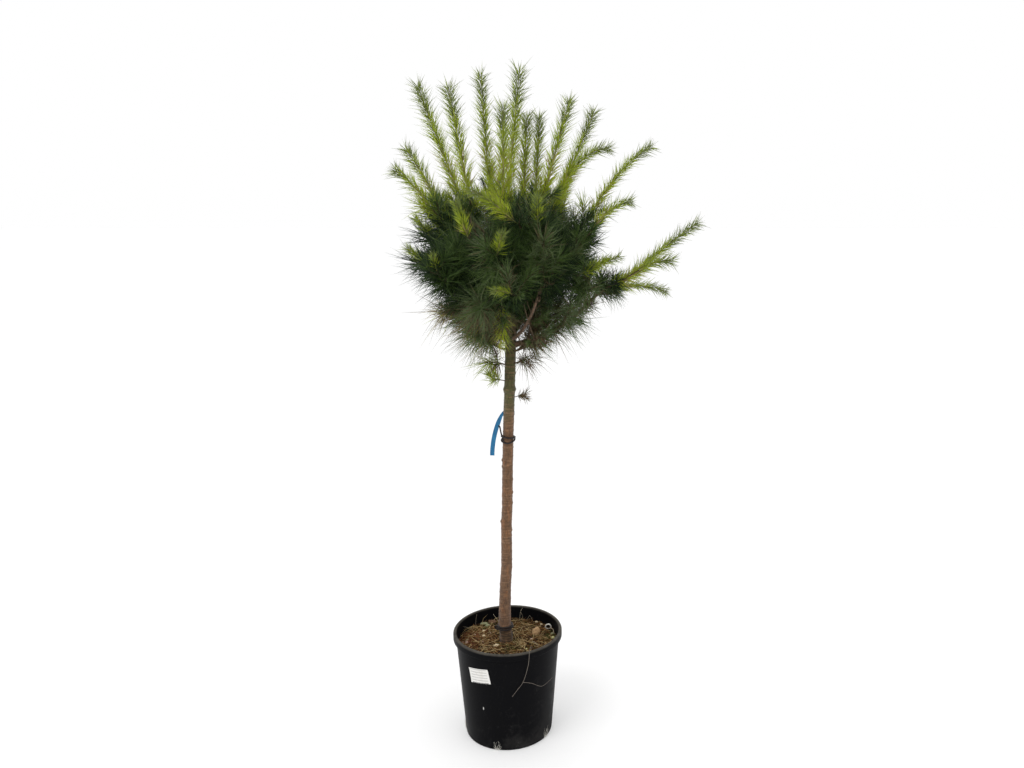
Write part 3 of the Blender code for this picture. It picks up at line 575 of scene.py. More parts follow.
def frames(path):
    """(heading, across, over) at each point of the path, turned as little as possible."""
    last = len(path) - 1
    side = None
    made = []
    for k in range(last + 1):
        heading = (path[min(k + 1, last)] - path[max(k - 1, 0)]).normalized()
        side = (heading.orthogonal() if side is None else side - side.dot(heading) * heading).normalized()
        made.append((heading, side, heading.cross(side)))
    return made


def smooth_path(path, steps):
    """The path with its corners rounded into a curve, each stretch cut into that many steps."""
    made = []
    for k in range(len(path) - 1):
        before, start = path[max(k - 1, 0)], path[k]
        end, after = path[k + 1], path[min(k + 2, len(path) - 1)]
        made += hermite(start, (end - before) / 2, end, (after - start) / 2, steps)[:-1]
    return made + [path[-1]]


def skin(bm, path, radii, sides, relief=None):
    """A closed tube added to the bmesh. The relief gives each point's lift off it."""
    rings = []
    for point, radius, (_, across, over) in zip(path, radii, frames(path)):
        ring = []
        for k in range(sides):
            angle = math.tau * k / sides
            ray = math.cos(angle) * across + math.sin(angle) * over
            spot = point + ray * radius
            ring.append(bm.verts.new(spot + ray * relief(spot) if relief else spot))
        rings.append(ring)
    loft(bm, rings, True)


# Growth, by the source's rule


def trunk_axis(height):
    above = height - SOIL_TOP
    across = TRUNK_FOOT_X + TRUNK_LEAN * above + TRUNK_WAVER * math.sin(9 * above)
    return Vector((across, TRUNK_WAVER * math.sin(7 * above), height))


def trunk_radius(height):
    flare = FLARE * math.exp(-(height - SOIL_TOP) / FLARE_HEIGHT)
    swell = WHORL_SWELL * math.exp(-(((height - WHORL_HEIGHT) / WHORL_SPREAD) ** 2))
    inside = max(0, (height - CROWN_FOOT) / (TRUNK_TOP - CROWN_FOOT))
    return TRUNK_RADIUS + (TRUNK_TIP_RADIUS - TRUNK_RADIUS) * inside + flare + swell


def trunk_levels():
    foot = SOIL_TOP + GAP
    flare = [foot + rise for rise in FOOT_RINGS]
    clear = [foot + CLEAR_START + CLEAR_PITCH * k for k in range(CLEAR_RINGS)]
    whorl = [WHORL_HEIGHT + WHORL_SPREAD * share for share in WHORL_RINGS]
    inside = TRUNK_TOP - CROWN_FOOT
    crown = [CROWN_FOOT + inside * k / CROWN_RINGS for k in range(CROWN_RINGS + 1)]
    return flare + clear + whorl + crown


def taper(thick, thin, count):
    return [thick + (thin - thick) * k / (count - 1) for k in range(count)]


def bough_path(height, degrees, reach, rise, steps=BOUGH_STEPS):
    start, ray = trunk_axis(height), compass(degrees)
    end = start + reach * ray + rise * UP
    leaving = BOUGH_LEAVING[0] * reach * ray + BOUGH_LEAVING[1] * rise * UP
    arriving = BOUGH_ARRIVING[0] * reach * ray + BOUGH_ARRIVING[1] * rise * UP
    return hermite(start, leaving, end, arriving, steps)


class Clearance:
    """Everything grown so far as straight rods with an owner, so that new growth can keep clear."""

    def __init__(self, most=20000):
        self.rods = np.zeros((most, 7))
        self.owners = np.zeros(most, int)
        self.names = {}
        self.count = 0

    def add(self, owner, path, radii):
        number = self.names.setdefault(owner, len(self.names))
        for k in range(len(path) - 1):
            self.rods[self.count] = (*path[k], *path[k + 1], max(radii[k], radii[k + 1]))
            self.owners[self.count] = number
            self.count += 1

    def is_free(self, path, radii, owner):
        """True if the path keeps clear of every rod of another owner."""
        rods = self.rods[: self.count][self.owners[: self.count] != self.names.get(owner, -1)]
        for k in range(len(path) - 1):
            a, b = np.array(path[k]), np.array(path[k + 1])
            reach = rods[:, 6] + max(radii[k], radii[k + 1]) + 2 * GAP
            low = np.minimum(rods[:, :3], rods[:, 3:6]) - reach[:, None]
            high = np.maximum(rods[:, :3], rods[:, 3:6]) + reach[:, None]
            near = (high > np.minimum(a, b)).all(1) & (low < np.maximum(a, b)).all(1)
            if near.any():
                close = rods[near]
                if (rod_distances(a, b, close[:, :3], close[:, 3:6]) < reach[near]).any():
                    return False
        return True


def rod_distances(start, end, starts, ends):
    """Shortest distance from one straight rod to each of many."""
    along, alongs = end - start, ends - starts
    apart = start - starts
    own, other = along @ along, (alongs * alongs).sum(1)
    mixed, lead, trail = alongs @ along, apart @ along, (alongs * apart).sum(1)
    s = np.clip((mixed * trail - lead * other) / np.maximum(own * other - mixed**2, 1e-12), 0, 1)
    t = np.clip((mixed * s + trail) / other, 0, 1)
    s = np.clip((mixed * t - lead) / own, 0, 1)
    nearest = apart + s[:, None] * along - t[:, None] * alongs
    return np.sqrt((nearest**2).sum(1))


def size_of(name):
    return SPRIGS[name][2] if name in SPRIGS else 1


class Twig:
    """An old twig from its fork, and the new shoot that goes on from it to a tip."""

    def __init__(self, fork, heading, base, tip, bow, size, swerve):
        self.size = size
        base = base + swerve
        tip = tip - (tip - base).normalized() * min(NEEDLES_BEYOND, 0.5 * (tip - base).length)
        rise = 4 * bow * (tip - base).length
        shares = [k / SHOOT_STEPS for k in range(SHOOT_STEPS + 1)]
        self.new = [base.lerp(tip, t) + UP * rise * t * (1 - t) for t in shares]
        span = (base - fork).length
        arriving = (self.new[1] - self.new[0]).normalized()
        self.old = hermite(fork, heading * span, base, arriving * span, TWIG_STEPS)

    def tube(self):
        radii = taper(TWIG_RADIUS, SHOOT_RADIUS, len(self.old))
        radii += taper(SHOOT_RADIUS, SHOOT_TIP_RADIUS, len(self.new))[1:]
        return self.old + self.new[1:], [radius * self.size for radius in radii]


def free_twig(name, fork, heading, base, tip, bow, clearance):
    """The least bent twig to the tip that keeps clear of everything else, or None."""
    _, across, over = frames([Vector(), (tip - fork).normalized()])[0]
    for k in range(SWERVE_TRIES):
        away = SWERVE * math.sqrt(k)
        swerve = away * (math.cos(k * GOLDEN_ANGLE) * across + math.sin(k * GOLDEN_ANGLE) * over)
        twig = Twig(fork, heading, base, tip, bow, size_of(name), swerve)
        path, radii = twig.tube()
        if clearance.is_free(path, radii, name):
            clearance.add(name, path, radii)
            return twig
    return None


def fill_targets():
    """Points spread evenly through the head, from the inside out."""
    shares = [1 - FILL_INSET * (k * GOLDEN_SHARE % 1) ** FILL_CROWDING for k in range(FILL_TARGETS)]
    targets = []
    for k, share in enumerate(shares):
        z = 1 - 2 * (k + 0.5) / FILL_TARGETS
        ring = math.sqrt(1 - z * z)
        ray = Vector((ring * math.cos(k * GOLDEN_ANGLE), ring * math.sin(k * GOLDEN_ANGLE), z))
        targets.append((share, HEAD_CENTRE + share * ray * HEAD_RADII))
    return [target for _, target in sorted(targets, key=lambda pair: pair[0])]


def forks_towards(target, growth):
    """Places on the masses' old twigs that a twig to the target can fork from, nearest first."""
    found = []
    for name, twigs in growth.items():
        if name in SPRIGS:
            continue
        for twig in twigs:
            for k in range(len(twig.old) - 1):
                heading = (twig.old[k + 1] - twig.old[k]).normalized()
                reach = target - twig.old[k]
                forward = heading.dot(reach) / reach.length
                if FILL_LEAST < reach.length < FILL_REACH and forward > FILL_FORWARD[k > 0]:
                    cost = reach.length * (1 + CROWDED_COST * len(twigs))
                    found.append((cost, name, twig.old[k], heading))
    return sorted(found, key=lambda fork: fork[0])


def grow_fill(growth, clearance):
    """Twigs that fill the head up between the shoots, each on the mass that reaches it best."""
    rng = random.Random(SEED)
    for target in 2 * fill_targets():
        twigs = [twig for twigs in growth.values() for twig in twigs]
        ends = [twig.old[-1] for twig in twigs] + [twig.old[2] for twig in twigs]
        if min((target - end).length for end in ends) < FILL_SPACING:
            continue
        for _, name, fork, heading in forks_towards(target, growth)[:FILL_TRIES]:
            ray = (target - fork).normalized()
            start = (heading + ray).normalized()
            base = target - (ray + FILL_RISE * UP).normalized() * FILL_SHOOT * rng.uniform(*FILL_SHOOTS)
            twig = free_twig(name, fork, start, base, target, 0, clearance)
            if twig:
                growth[name].append(twig)
                break


@functools.cache
def boughs():
    """Each bough's path and radii."""
    made = {}
    for name, height, degrees, reach, rise, thick in BOUGHS:
        path = bough_path(height, degrees, reach, rise)
        made[name] = (path, taper(thick, thick * BOUGH_TIP_SHARE, len(path)))
    return made


def starts_of():
    """Where each mass starts, its heading there and its stem's radius and length."""
    starts = {}
    for name, (path, radii) in boughs().items():
        starts[name] = (path[-1], (path[-1] - path[-2]).normalized(), radii[-1], STEM_LENGTH)
    lean = (trunk_axis(TRUNK_TOP) - trunk_axis(TRUNK_TOP - 0.01)).normalized()
    starts["top"] = (trunk_axis(TRUNK_TOP), lean, TRUNK_TIP_RADIUS, STEM_LENGTH)
    for name, (height, degrees, size) in SPRIGS.items():
        heading = (compass(degrees) + SPRIG_RISE * UP).normalized()
        radius = SPRIG_RADIUS * size
        away = SPRIG_SEAT[0] * trunk_radius(height) + SPRIG_SEAT[1] * radius
        starts[name] = (trunk_axis(height) + heading * away, heading, radius, SPRIG_LENGTH * size)
    return starts


@functools.cache
def growth():
    """The stem and the twigs of every mass."""
    clearance = Clearance()
    levels = trunk_levels()
    clearance.add("trunk", [trunk_axis(z) for z in levels], [trunk_radius(z) for z in levels])
    for name, (path, radii) in boughs().items():
        clearance.add("bough_" + name, path, radii)
    stems, twigs, forks = {}, {}, {}
    for name, (seat, heading, radius, length) in starts_of().items():
        start = seat + heading * 1.5 * GAP
        end = start + heading * length
        stems[name] = ([start, end], [radius, STEM_TAPER * radius])
        forks[name] = (end - heading * STEM_FORK * length, heading)
        clearance.add(name, *stems[name])
    for name, fork in forks.items():
        rows = [(Vector(base), Vector(tip), bow) for owner, base, tip, bow in SHOOTS if owner == name]
        found = [free_twig(name, *fork, *row, clearance) for row in rows]
        twigs[name] = [twig for twig in found if twig]
    grow_fill(twigs, clearance)
    return stems, twigs


# Sizes and colours that a user may change


def length_setting(name, text, default):
    return bpy.props.FloatProperty(
        name=name, description=text, default=default, min=0, unit="LENGTH", precision=4
    )


def number_setting(name, text, default):
    return bpy.props.FloatProperty(name=name, description=text, default=default, min=0)


def angle_setting(name, text, degrees):
    return bpy.props.FloatProperty(
        name=name, description=text, default=math.radians(degrees), subtype="ANGLE"
    )


def colour_setting(name, text, default):
    return bpy.props.FloatVectorProperty(
        name=name, description=text, default=default, size=3, min=0, max=1, subtype="COLOR"
    )


class PotSettings(bpy.types.PropertyGroup):
    plastic: colour_setting("Plastic", "Colour of the pot's clean plastic", (0.0035, 0.0035, 0.0042))
    dust: colour_setting("Dust", "Colour of the dried dust on the pot", (0.046, 0.044, 0.042))
    # The rim's colour stands for scuffs and for a painted highlight along its top
    wear_and_highlight: colour_setting("Worn rim", "Colour of the scuffed edge of the rim", (0.086, 0.078, 0.066))
    paper: colour_setting("Sticker", "Colour of the sticker's paper", (0.72, 0.71, 0.68))


class SoilSettings(bpy.types.PropertyGroup):
    peat: colour_setting("Peat", "Colour of the soil", (0.034, 0.017, 0.007))
    red: colour_setting("Red", "Colour of the rotten bark on the left", (0.170, 0.048, 0.018))
    moss: colour_setting("Moss", "Colour of the moss on the soil", (0.100, 0.110, 0.018))
    straw: colour_setting("Straw", "Colour of dry needles and straw", (0.55, 0.40, 0.19))
    relief: length_setting("Relief", "How far the soil rises and falls", 0.0068)
    litter: number_setting("Litter", "Dry needles for each square metre", 15000)


class WoodSettings(bpy.types.PropertyGroup):
    foot: colour_setting("Foot", "Colour of the bark near the soil", (0.142, 0.076, 0.040))
    middle: colour_setting("Middle", "Colour of the bark half way up", (0.142, 0.074, 0.034))
    upper: colour_setting("Upper", "Colour of the bark below the head", (0.080, 0.078, 0.024))
    # The boughs' bark is made paler as painted light, to make up for the shade they lie in
    limb: colour_setting("Limb", "Colour of the bark on the boughs", (0.190, 0.118, 0.072))
    patch: colour_setting("Patches", "Colour of the rusty patches in the bark", (0.250, 0.105, 0.038))
    crack: colour_setting("Crack", "Colour in the cracks of the bark", (0.035, 0.020, 0.013))
    twig: colour_setting("Twig", "Colour of the old twigs", (0.085, 0.058, 0.034))
    stem: colour_setting("New stem", "Colour of the stems of new shoots", (0.26, 0.25, 0.085))
    side_length: length_setting("Side twigs", "Length of the longest side twigs", 0.095)
    side_pitch: length_setting("Side pitch", "Distance between side twigs", 0.0095)


class NeedleSettings(bpy.types.PropertyGroup):
    old_length: length_setting("Old length", "Length of the old needles", 0.092)
    new_length: length_setting("New length", "Length of the needles of new shoots", 0.048)
    old_width: length_setting("Old width", "Half the width of an old needle", 0.00076)
    new_width: length_setting("New width", "Half the width of a new needle", 0.00082)
    old_pitch: length_setting("Old pitch", "Distance from one old needle to the next", 0.00066)
    new_pitch: length_setting("New pitch", "Distance from one new needle to the next", 0.00050)
    old_lean: angle_setting("Old lean", "Angle between old needles and their twig", 48)
    new_lean: angle_setting("New lean", "Angle between new needles and their shoot", 35)
    # Deep is a painted shade copy of the old needles' green
    deep: colour_setting("Deep", "Old needles inside the head", (0.009, 0.023, 0.005))
    dark: colour_setting("Dark", "Most old needles", (0.032, 0.063, 0.011))
    # Mid is a painted lit copy of the old needles' green
    mid: colour_setting("Mid", "Old needles in the light", (0.066, 0.112, 0.024))
    # Silver is the needles' pale side and also a painted highlight
    silver: colour_setting("Silver", "Old needles that show their pale side", (0.115, 0.155, 0.066))
    # Umber is brown needles, made paler as painted light for the shaded lower right
    umber: colour_setting("Umber", "Old needles that turn brown", (0.130, 0.096, 0.052))
    straw: colour_setting("Straw", "Needles that turn yellow", (0.34, 0.28, 0.11))
    rust: colour_setting("Rust", "Dry needles", (0.13, 0.080, 0.038))
    lime: colour_setting("Lime", "Lowest third of a new shoot's needles", (0.345, 0.420, 0.020))
    fresh: colour_setting("Fresh", "Middle third of a new shoot's needles", (0.295, 0.372, 0.032))
    tip: colour_setting("Tip", "Last third of a new shoot's needles", (0.176, 0.220, 0.056))


class StageSettings(bpy.types.PropertyGroup):
    floor: colour_setting("Floor", "Colour of the floor", (0.86, 0.86, 0.86))
    glow: number_setting("Glow", "Light that the floor gives off, so that its far edge is hidden", 0.14)
    sky: number_setting("Sky", "Strength of the light from all round", 1.0)
    key: number_setting("Key", "Power of the large lamp in watts", 60)
    fill: number_setting("Fill", "Power of the second lamp in watts", 10)


# Materials


def rgba(colour):
    return (*tuple(colour)[:3], 1.0)


def shade(colour, factor, lift=0.0):
    return tuple(min(1, part * factor + lift) for part in colour)


class Coats:
    """A Principled material whose colour is laid on coat by coat."""

    def __init__(self, name, colour, roughness, shine=0.3):
        self.made = bpy.data.materials.new(name)
        self.made.use_nodes = True
        self.colour = rgba(colour)
        self.made.diffuse_color = self.colour
        self.tree = self.made.node_tree
        self.inputs = self.tree.nodes["Principled BSDF"].inputs
        self.inputs["Base Color"].default_value = self.colour
        self.inputs["Roughness"].default_value = roughness
        self.inputs["Specular IOR Level"].default_value = shine
        (self.place,) = wire(self.tree, "ShaderNodeTexCoord", outputs=["Object"])

    def noise(self, scale, detail=3.0, rough=0.5):
        """Noise over the object, at one scale or at one for each axis."""
        if isinstance(scale, tuple):
            return (self.place * scale).noise(1, detail, rough)
        return self.place.noise(scale, detail, rough)

    def coat(self, share, colour):
        """Covers the colour so far with another one, as far as the share says."""
        values = {"Factor": share, "A": self.colour, "B": rgba(colour)}
        self.colour = wire(self.tree, "ShaderNodeMix", values, data_type="RGBA")

    def finish(self, roughness, height, lift, strength=1.0):
        """Wires up the colour, the roughness and bumps, and returns the material."""
        values = {"Height": height, "Distance": lift, "Strength": strength}
        normal = wire(self.tree, "ShaderNodeBump", values)
        for key, value in {"Base Color": self.colour, "Roughness": roughness, "Normal": normal}.items():
            if isinstance(value, Wire):
                self.tree.links.new(value.socket, self.inputs[key])
        return self.made


CHALK_PLACE = (-0.0589, -0.1182, 0.1253)
CHALK_SIZE = (0.0016, 0.0030, 0.0050)


@functools.cache
def black_plastic():
    """Black moulded plastic with a pale rim, fine scratches and dried dust. The rim's paler top is partly
    scuffs and partly a painted highlight.
    """
    pot = bpy.context.scene.stone_pine_pot
    stuff = Coats("black_plastic", pot.plastic, 0.42, 0.03)
    x, _, z = stuff.place.split()
    cloud = stuff.noise(24, 6, 0.7)
    dusty = cloud + z.ramp(0.16, 0.0, 0.0, 0.30) + x.ramp(-0.02, 0.15, 0.0, 0.22)
    speck = stuff.noise(240, 2).ramp(0.60, 0.74, 0.0, 0.5) * cloud.ramp(0.45, 0.7)
    dusty = dusty.ramp(0.74, 1.02, 0.0, 0.36) + speck
    stuff.coat(dusty, pot.dust)
    stuff.coat(stuff.noise((9, 9, 210), 3, 0.7).ramp(0.70, 0.78, 0, 0.35), (0.040, 0.039, 0.038))
    # Scuffs and a painted highlight: the top few millimetres of the rim are paler
    wear_and_highlight = z.ramp(POT_HEIGHT - 0.005, POT_HEIGHT - 0.0008)
    stuff.coat(wear_and_highlight * stuff.noise(38, 4, 0.7).ramp(0.30, 0.62, 0.45, 0.95), pot.wear_and_highlight)
    chalk = maths("LENGTH", (stuff.place - CHALK_PLACE) / CHALK_SIZE) + stuff.noise(600, 2) * 0.6
    stuff.coat(chalk.ramp(1.05, 1.35, 1, 0), (0.50, 0.50, 0.48))
    return stuff.finish(dusty.ramp(0, 0.5, 0.40, 0.85), stuff.noise(900, 2) + cloud * 2, 0.00012, 0.6)


@functools.cache
def peat():
    """Fibrous soil with painted shade in its dips, pale flecks and green patches."""
    soil = bpy.context.scene.stone_pine_soil
    stuff = Coats("peat", soil.peat, 0.95, 0.1)
    x, _, _ = stuff.place.split()
    broad, fine = stuff.noise(30, 5, 0.6), stuff.noise(210, 6, 0.7)
    fibre = stuff.noise((420, 130, 200), 3, 0.6)
    stuff.coat(x.ramp(-0.045, -0.105) * broad.ramp(0.40, 0.55), soil.red)
    # Painted shade: the soil is darkened where the fine noise makes dips
    stuff.coat(fine.ramp(0.58, 0.38), shade(soil.peat, 0.18))
    stuff.coat(fibre.ramp(0.56, 0.72, 0, 0.8), shade(soil.peat, 2.6))
    stuff.coat(broad.ramp(0.56, 0.68, 0, 0.75), soil.moss)
    return stuff.finish(broad.ramp(0.3, 0.7, 0.98, 0.80), fine + fibre * 0.6, 0.0018, 0.9)


@functools.cache
def bark(name="bark", scale=1.0):
    """Young bark: red-brown below and olive above, banded, with dark cracks and pale scars."""
    wood = bpy.context.scene.stone_pine_wood
    stuff = Coats(name, wood.middle, 0.85)
    z = stuff.place.split()[2]
    patch = stuff.noise((34, 34, 13), 4, 0.6)
    height = z + patch * 0.10
    stuff.coat(height.ramp(0.62, 0.36), wood.foot)
    rusty = stuff.noise((70, 70, 26), 4, 0.6).ramp(0.52, 0.64, 0, 0.7)
    stuff.coat(rusty * z.ramp(0.95, 0.88), wood.patch)
    # The trunk turns olive here; the boughs take a paler colour instead, as painted light
    stuff.coat(height.ramp(0.93, 1.02), wood.limb if name == "bough_bark" else wood.upper)
    # Painted shade: the bark just below the lower tie is darkened
    stuff.coat(z.ramp(0.306, 0.298, 0, 0.92), (0.052, 0.030, 0.010))
    band = stuff.noise((22, 22, 260 * scale), 3, 0.6)
    stuff.coat(band.ramp(0.50, 0.64, 0, 0.5), shade(wood.middle, 1.9, 0.03))
    stuff.coat(stuff.noise((40, 40, 700), 2, 0.6).ramp(0.56, 0.68, 0, 0.5), wood.crack)
    grain = stuff.noise((520, 520, 150), 4, 0.65)
    stuff.coat(grain.ramp(0.54, 0.36) * 0.55, wood.crack)
    (crack,) = wire(stuff.tree, "ShaderNodeAttribute", outputs=["Fac"], attribute_name="crack")
    stuff.coat(crack * 0.5, wood.crack)
    stuff.inputs["Sheen Weight"].default_value = 0.2
    return stuff.finish(patch.ramp(0.3, 0.7, 0.92, 0.72), grain + band * 1.3, 0.0009, 0.9)


@functools.cache
def grained(name, colour, roughness, scale, spread=0.35, lift=0.0002, shine=0.3):
    """A plain stuff whose colour and gloss vary a little at one scale."""
    stuff = Coats(name, colour, roughness, shine)
    grain = stuff.noise(scale, 3, 0.6)
    stuff.colour = rgba(shade(colour, 1 - spread))
    stuff.coat(grain.ramp(0.3, 0.7), shade(colour, 1 + spread))
    gloss = grain.ramp(0.3, 0.7, min(1, roughness + 0.08), max(0, roughness - 0.08))
    return stuff.finish(gloss, grain, lift)


@functools.cache
def needle(tint):
    """One plain colour for each spray, glossy in streaks along the needle."""
    stuff = Coats("needle_" + tint, getattr(bpy.context.scene.stone_pine_needles, tint), 0.5, 0.2)
    streak = stuff.noise(260, 2)
    return stuff.finish(streak.ramp(0.3, 0.7, 0.62, 0.44), streak, 0.0001, 0.5)


@functools.cache
def ruled_paper():
    """Slightly soiled white paper with faint plain rules, on its own map."""
    stuff = Coats("ruled_paper", bpy.context.scene.stone_pine_pot.paper, 0.6)
    u, v, _ = wire(stuff.tree, "ShaderNodeUVMap", uv_map="sheet").split()
    rule = maths("LESS_THAN", maths("FRACT", v * 5.5), 0.34) * u.ramp(0.90, 0.92, 1, 0)
    rule = rule * u.ramp(0.08, 0.10) * v.ramp(0.12, 0.18, 1.0, 0.42)
    stuff.coat(rule * stuff.noise(900, 2).ramp(0.40, 0.5, 0.35, 1.0), (0.10, 0.10, 0.105))
    soiled = stuff.noise(60, 4, 0.7).ramp(0.52, 0.75, 0, 0.35)
    stuff.coat(soiled, (0.42, 0.38, 0.32))
    return stuff.finish(soiled.ramp(0, 0.35, 0.5, 0.75), stuff.noise(130, 3), 0.0002, 0.5)


@functools.cache
def blue_tape():
    """Thin glossy blue plastic with faint lengthwise creases."""
    stuff = Coats("blue_tape", (0.010, 0.115, 0.265), 0.34)
    crease = stuff.noise((260, 260, 40), 3, 0.6)
    stuff.colour = rgba((0.006, 0.085, 0.205))
    stuff.coat(crease.ramp(0.3, 0.7), (0.018, 0.165, 0.325))
    return stuff.finish(crease.ramp(0.3, 0.7, 0.46, 0.28), crease, 0.0006, 0.8)


# Foliage

SIDE_LEAN = math.radians(52)
BARE_SHARE = 0.22
NEW_SHOOT_LENGTH = 0.026
SHOOTS_ABOVE = 1.19

# Needles are shorter further to the right, and on short shoots
SLIM_SHARE = 0.32
SLIM_FROM = 0.12
SLIM_OVER = 0.12
SHORT_SHARE = 0.42
SHORT_GAIN = 3.9
SHORT_SHOOT = 0.085
TRUNK_CLEAR = 0.03

# Tints of old needles by place, each as often as it is named. The darker tints inside the head and on the
# left are painted shade, and the paler ones outside it and below it are partly painted light.
LOW_HEIGHT = 1.22
LOW_BROWN = 0.05
# Painted light: below the head the tints are made paler with silver, besides real brown ones
LOW_BROWN_AND_PAINTED_LIGHT_TINTS = ("mid", "silver", "silver", "silver", "straw", "umber", "umber", "umber")
# Painted shade: the left of the head gets the darkest tints
LEFT_PAINTED_SHADE_TINTS = ("deep", "deep", "deep", "dark")
TOP_SHADES = ("mid", "lime", "fresh", "lime")
# Painted light: the lower right is made paler with silver and a paler umber, besides its real brown
RIGHT_BROWN_AND_PAINTED_LIGHT_TINTS = ("mid", "silver", "silver", "umber", "umber", "umber")
# Painted shade inside the head, and painted light outside it
INNER_PAINTED_SHADE_TINTS = ("deep", "deep", "dark", "dark", "mid")
OUTER_PAINTED_LIGHT_TINTS = ("deep", "deep", "dark", "mid", "mid", "mid", "silver")

# Places where sprays have their own tint: centre, radius and tint
TINTED_SPOTS = (
    ((-0.091, -0.100, 1.235), 0.018, "umber"),
    ((0.030, -0.150, 1.264), 0.020, "straw"),
    ((0.004, -0.125, 1.130), 0.036, "lime"),
    ((-0.040, -0.030, 1.040), 0.035, "fresh"),
    ((0.065, -0.008, 0.965), 0.035, "umber"),
)

# Small shoots that show in front, with the mass that they grow on
FRONT_SHOOTS = (
    ("high_left", Vector((-0.064, -0.165, 1.392)), Vector((-0.087, -0.190, 1.470))),
    ("low_right", Vector((0.205, -0.100, 1.300)), Vector((0.300, -0.125, 1.344))),
)
FRONT_SHOOT_SIZE = 0.9

# Side twigs, and how they shorten outside the head and on the arm on the right
SIDE_SHARE = 0.55
ARM_SIDE_SHARE = 0.48
LOW_SIDE_SIZE = 0.9
SIDE_RADII = (0.0016, 0.0007)
SIDE_PITCHES = (0.7, 1.3)
SIDE_REACHES = (0.55, 1)
SIDE_RISE = 0.25
SIDE_BOW = 0.2
SIDE_END_RISE = 0.8
FRONT_RADII = (0.0016, 0.0012, 0.0008)

# Old needles are shorter outside the head, and hang more the lower they are
OUTER_REACH = 0.84
OLD_REACHES = (0.85, 1.05)
OLD_FOOT_REACH = 0.8
OLD_LEANS = (1.3, 0.5)
HANG_TOP = 1.36
HANG_DEPTH = 0.22
HANG_LEAST = 0.08
HANG_MORE = 0.38
NEW_HANG = 0.03
NEW_SPREAD = (0.92, 1.08)

# The reach and the lean of new needles along each third of their shoot
NEW_REACHES = ((1.12, 1.06), (1.06, 1.00), (1.00, 0.82))
NEW_LEANS = ((1.10, 0.98), (0.98, 0.94), (0.94, 1.25))

# The limb that shows between the needles, and how far they stay away in front of it
SEEN_LIMB = "low_front_right"
SIGHT = Vector((0.055, -0.985, 0.110))
OPEN_DEPTHS = (0.03, 0.065, 0.10, 0.135, 0.17)
OPEN_RADIUS = 0.022
OPEN_EDGE = 0.010
LEAST_REACH = 0.022

# Where the arm on the right turns green, and the height where old needles do
ARM_GREEN = 0.288
ARM_FROM = 0.15
TOP_GREEN = 1.462
TOP_LIMIT = 1.535
FRONT_LIMIT = 0.288
# Where the painted shade on the left of the head begins
PAINTED_SHADE_LEFT_FROM = -0.10


def in_head(point, margin=1.0):
    offset = point - HEAD_CENTRE
    return Vector([d / r for d, r in zip(offset, HEAD_RADII)]).length < margin


def slimness(point):
    return 1 - SLIM_SHARE * min(1, max(0, (point.x - SLIM_FROM) / SLIM_OVER))


@functools.cache
def open_centres():
    return [spot + depth * SIGHT for spot in boughs()[SEEN_LIMB][0][2:] for depth in OPEN_DEPTHS]


def open_distance(point):
    return min((point - centre).length for centre in open_centres())


def is_open(point):
    return open_distance(point) < OPEN_RADIUS


def old_tint(point, rng):
    """Sprays get painted shade inside the head and on the left, and painted light outside it; below it they
    are browner, most of all on the right, and paler with painted light.
    """
    for centre, radius, tint in TINTED_SPOTS:
        if (point - Vector(centre)).length < radius:
            return tint
    if point.z > TOP_GREEN:
        return rng.choice(TOP_SHADES)
    if point.x < PAINTED_SHADE_LEFT_FROM and point.z > LOW_HEIGHT:
        return rng.choice(LEFT_PAINTED_SHADE_TINTS)
    if point.z < LOW_HEIGHT:
        return rng.choice(RIGHT_BROWN_AND_PAINTED_LIGHT_TINTS if point.x > LOW_BROWN else LOW_BROWN_AND_PAINTED_LIGHT_TINTS)
    return rng.choice(INNER_PAINTED_SHADE_TINTS if in_head(point, 0.85) else OUTER_PAINTED_LIGHT_TINTS)


def side_paths(path, size, rng):
    """Finer twigs round the outer part of an old one, golden angles apart."""
    wood = bpy.context.scene.stone_pine_wood
    gone = 0
    turn = rng.uniform(0, math.tau)
    span = sum((b - a).length for a, b in zip(path, path[1:]))
    due = BARE_SHARE * span
    for k, (heading, across, over) in enumerate(frames(path)[:-1]):
        gone += (path[k + 1] - path[k]).length
        if gone < due:
            continue
        due = gone + wood.side_pitch * rng.uniform(*SIDE_PITCHES)
        turn += GOLDEN_ANGLE
        ray = math.cos(turn) * across + math.sin(turn) * over
        aim = (math.cos(SIDE_LEAN) * heading + math.sin(SIDE_LEAN) * ray + SIDE_RISE * UP).normalized()
        reach = wood.side_length * size * rng.uniform(*SIDE_REACHES)
        end = path[k] + aim * reach + SIDE_BOW * reach * UP
        if not in_head(end, 1.05):
            reach *= SIDE_SHARE if end.x < ARM_FROM else ARM_SIDE_SHARE
            end = path[k] + aim * reach + SIDE_BOW * reach * UP
        if (end - trunk_axis(end.z)).length < TRUNK_CLEAR or is_open(end) or is_open(path[k]):
            continue
        yield hermite(path[k], aim * reach, end, (aim + SIDE_END_RISE * UP).normalized() * reach, 5)


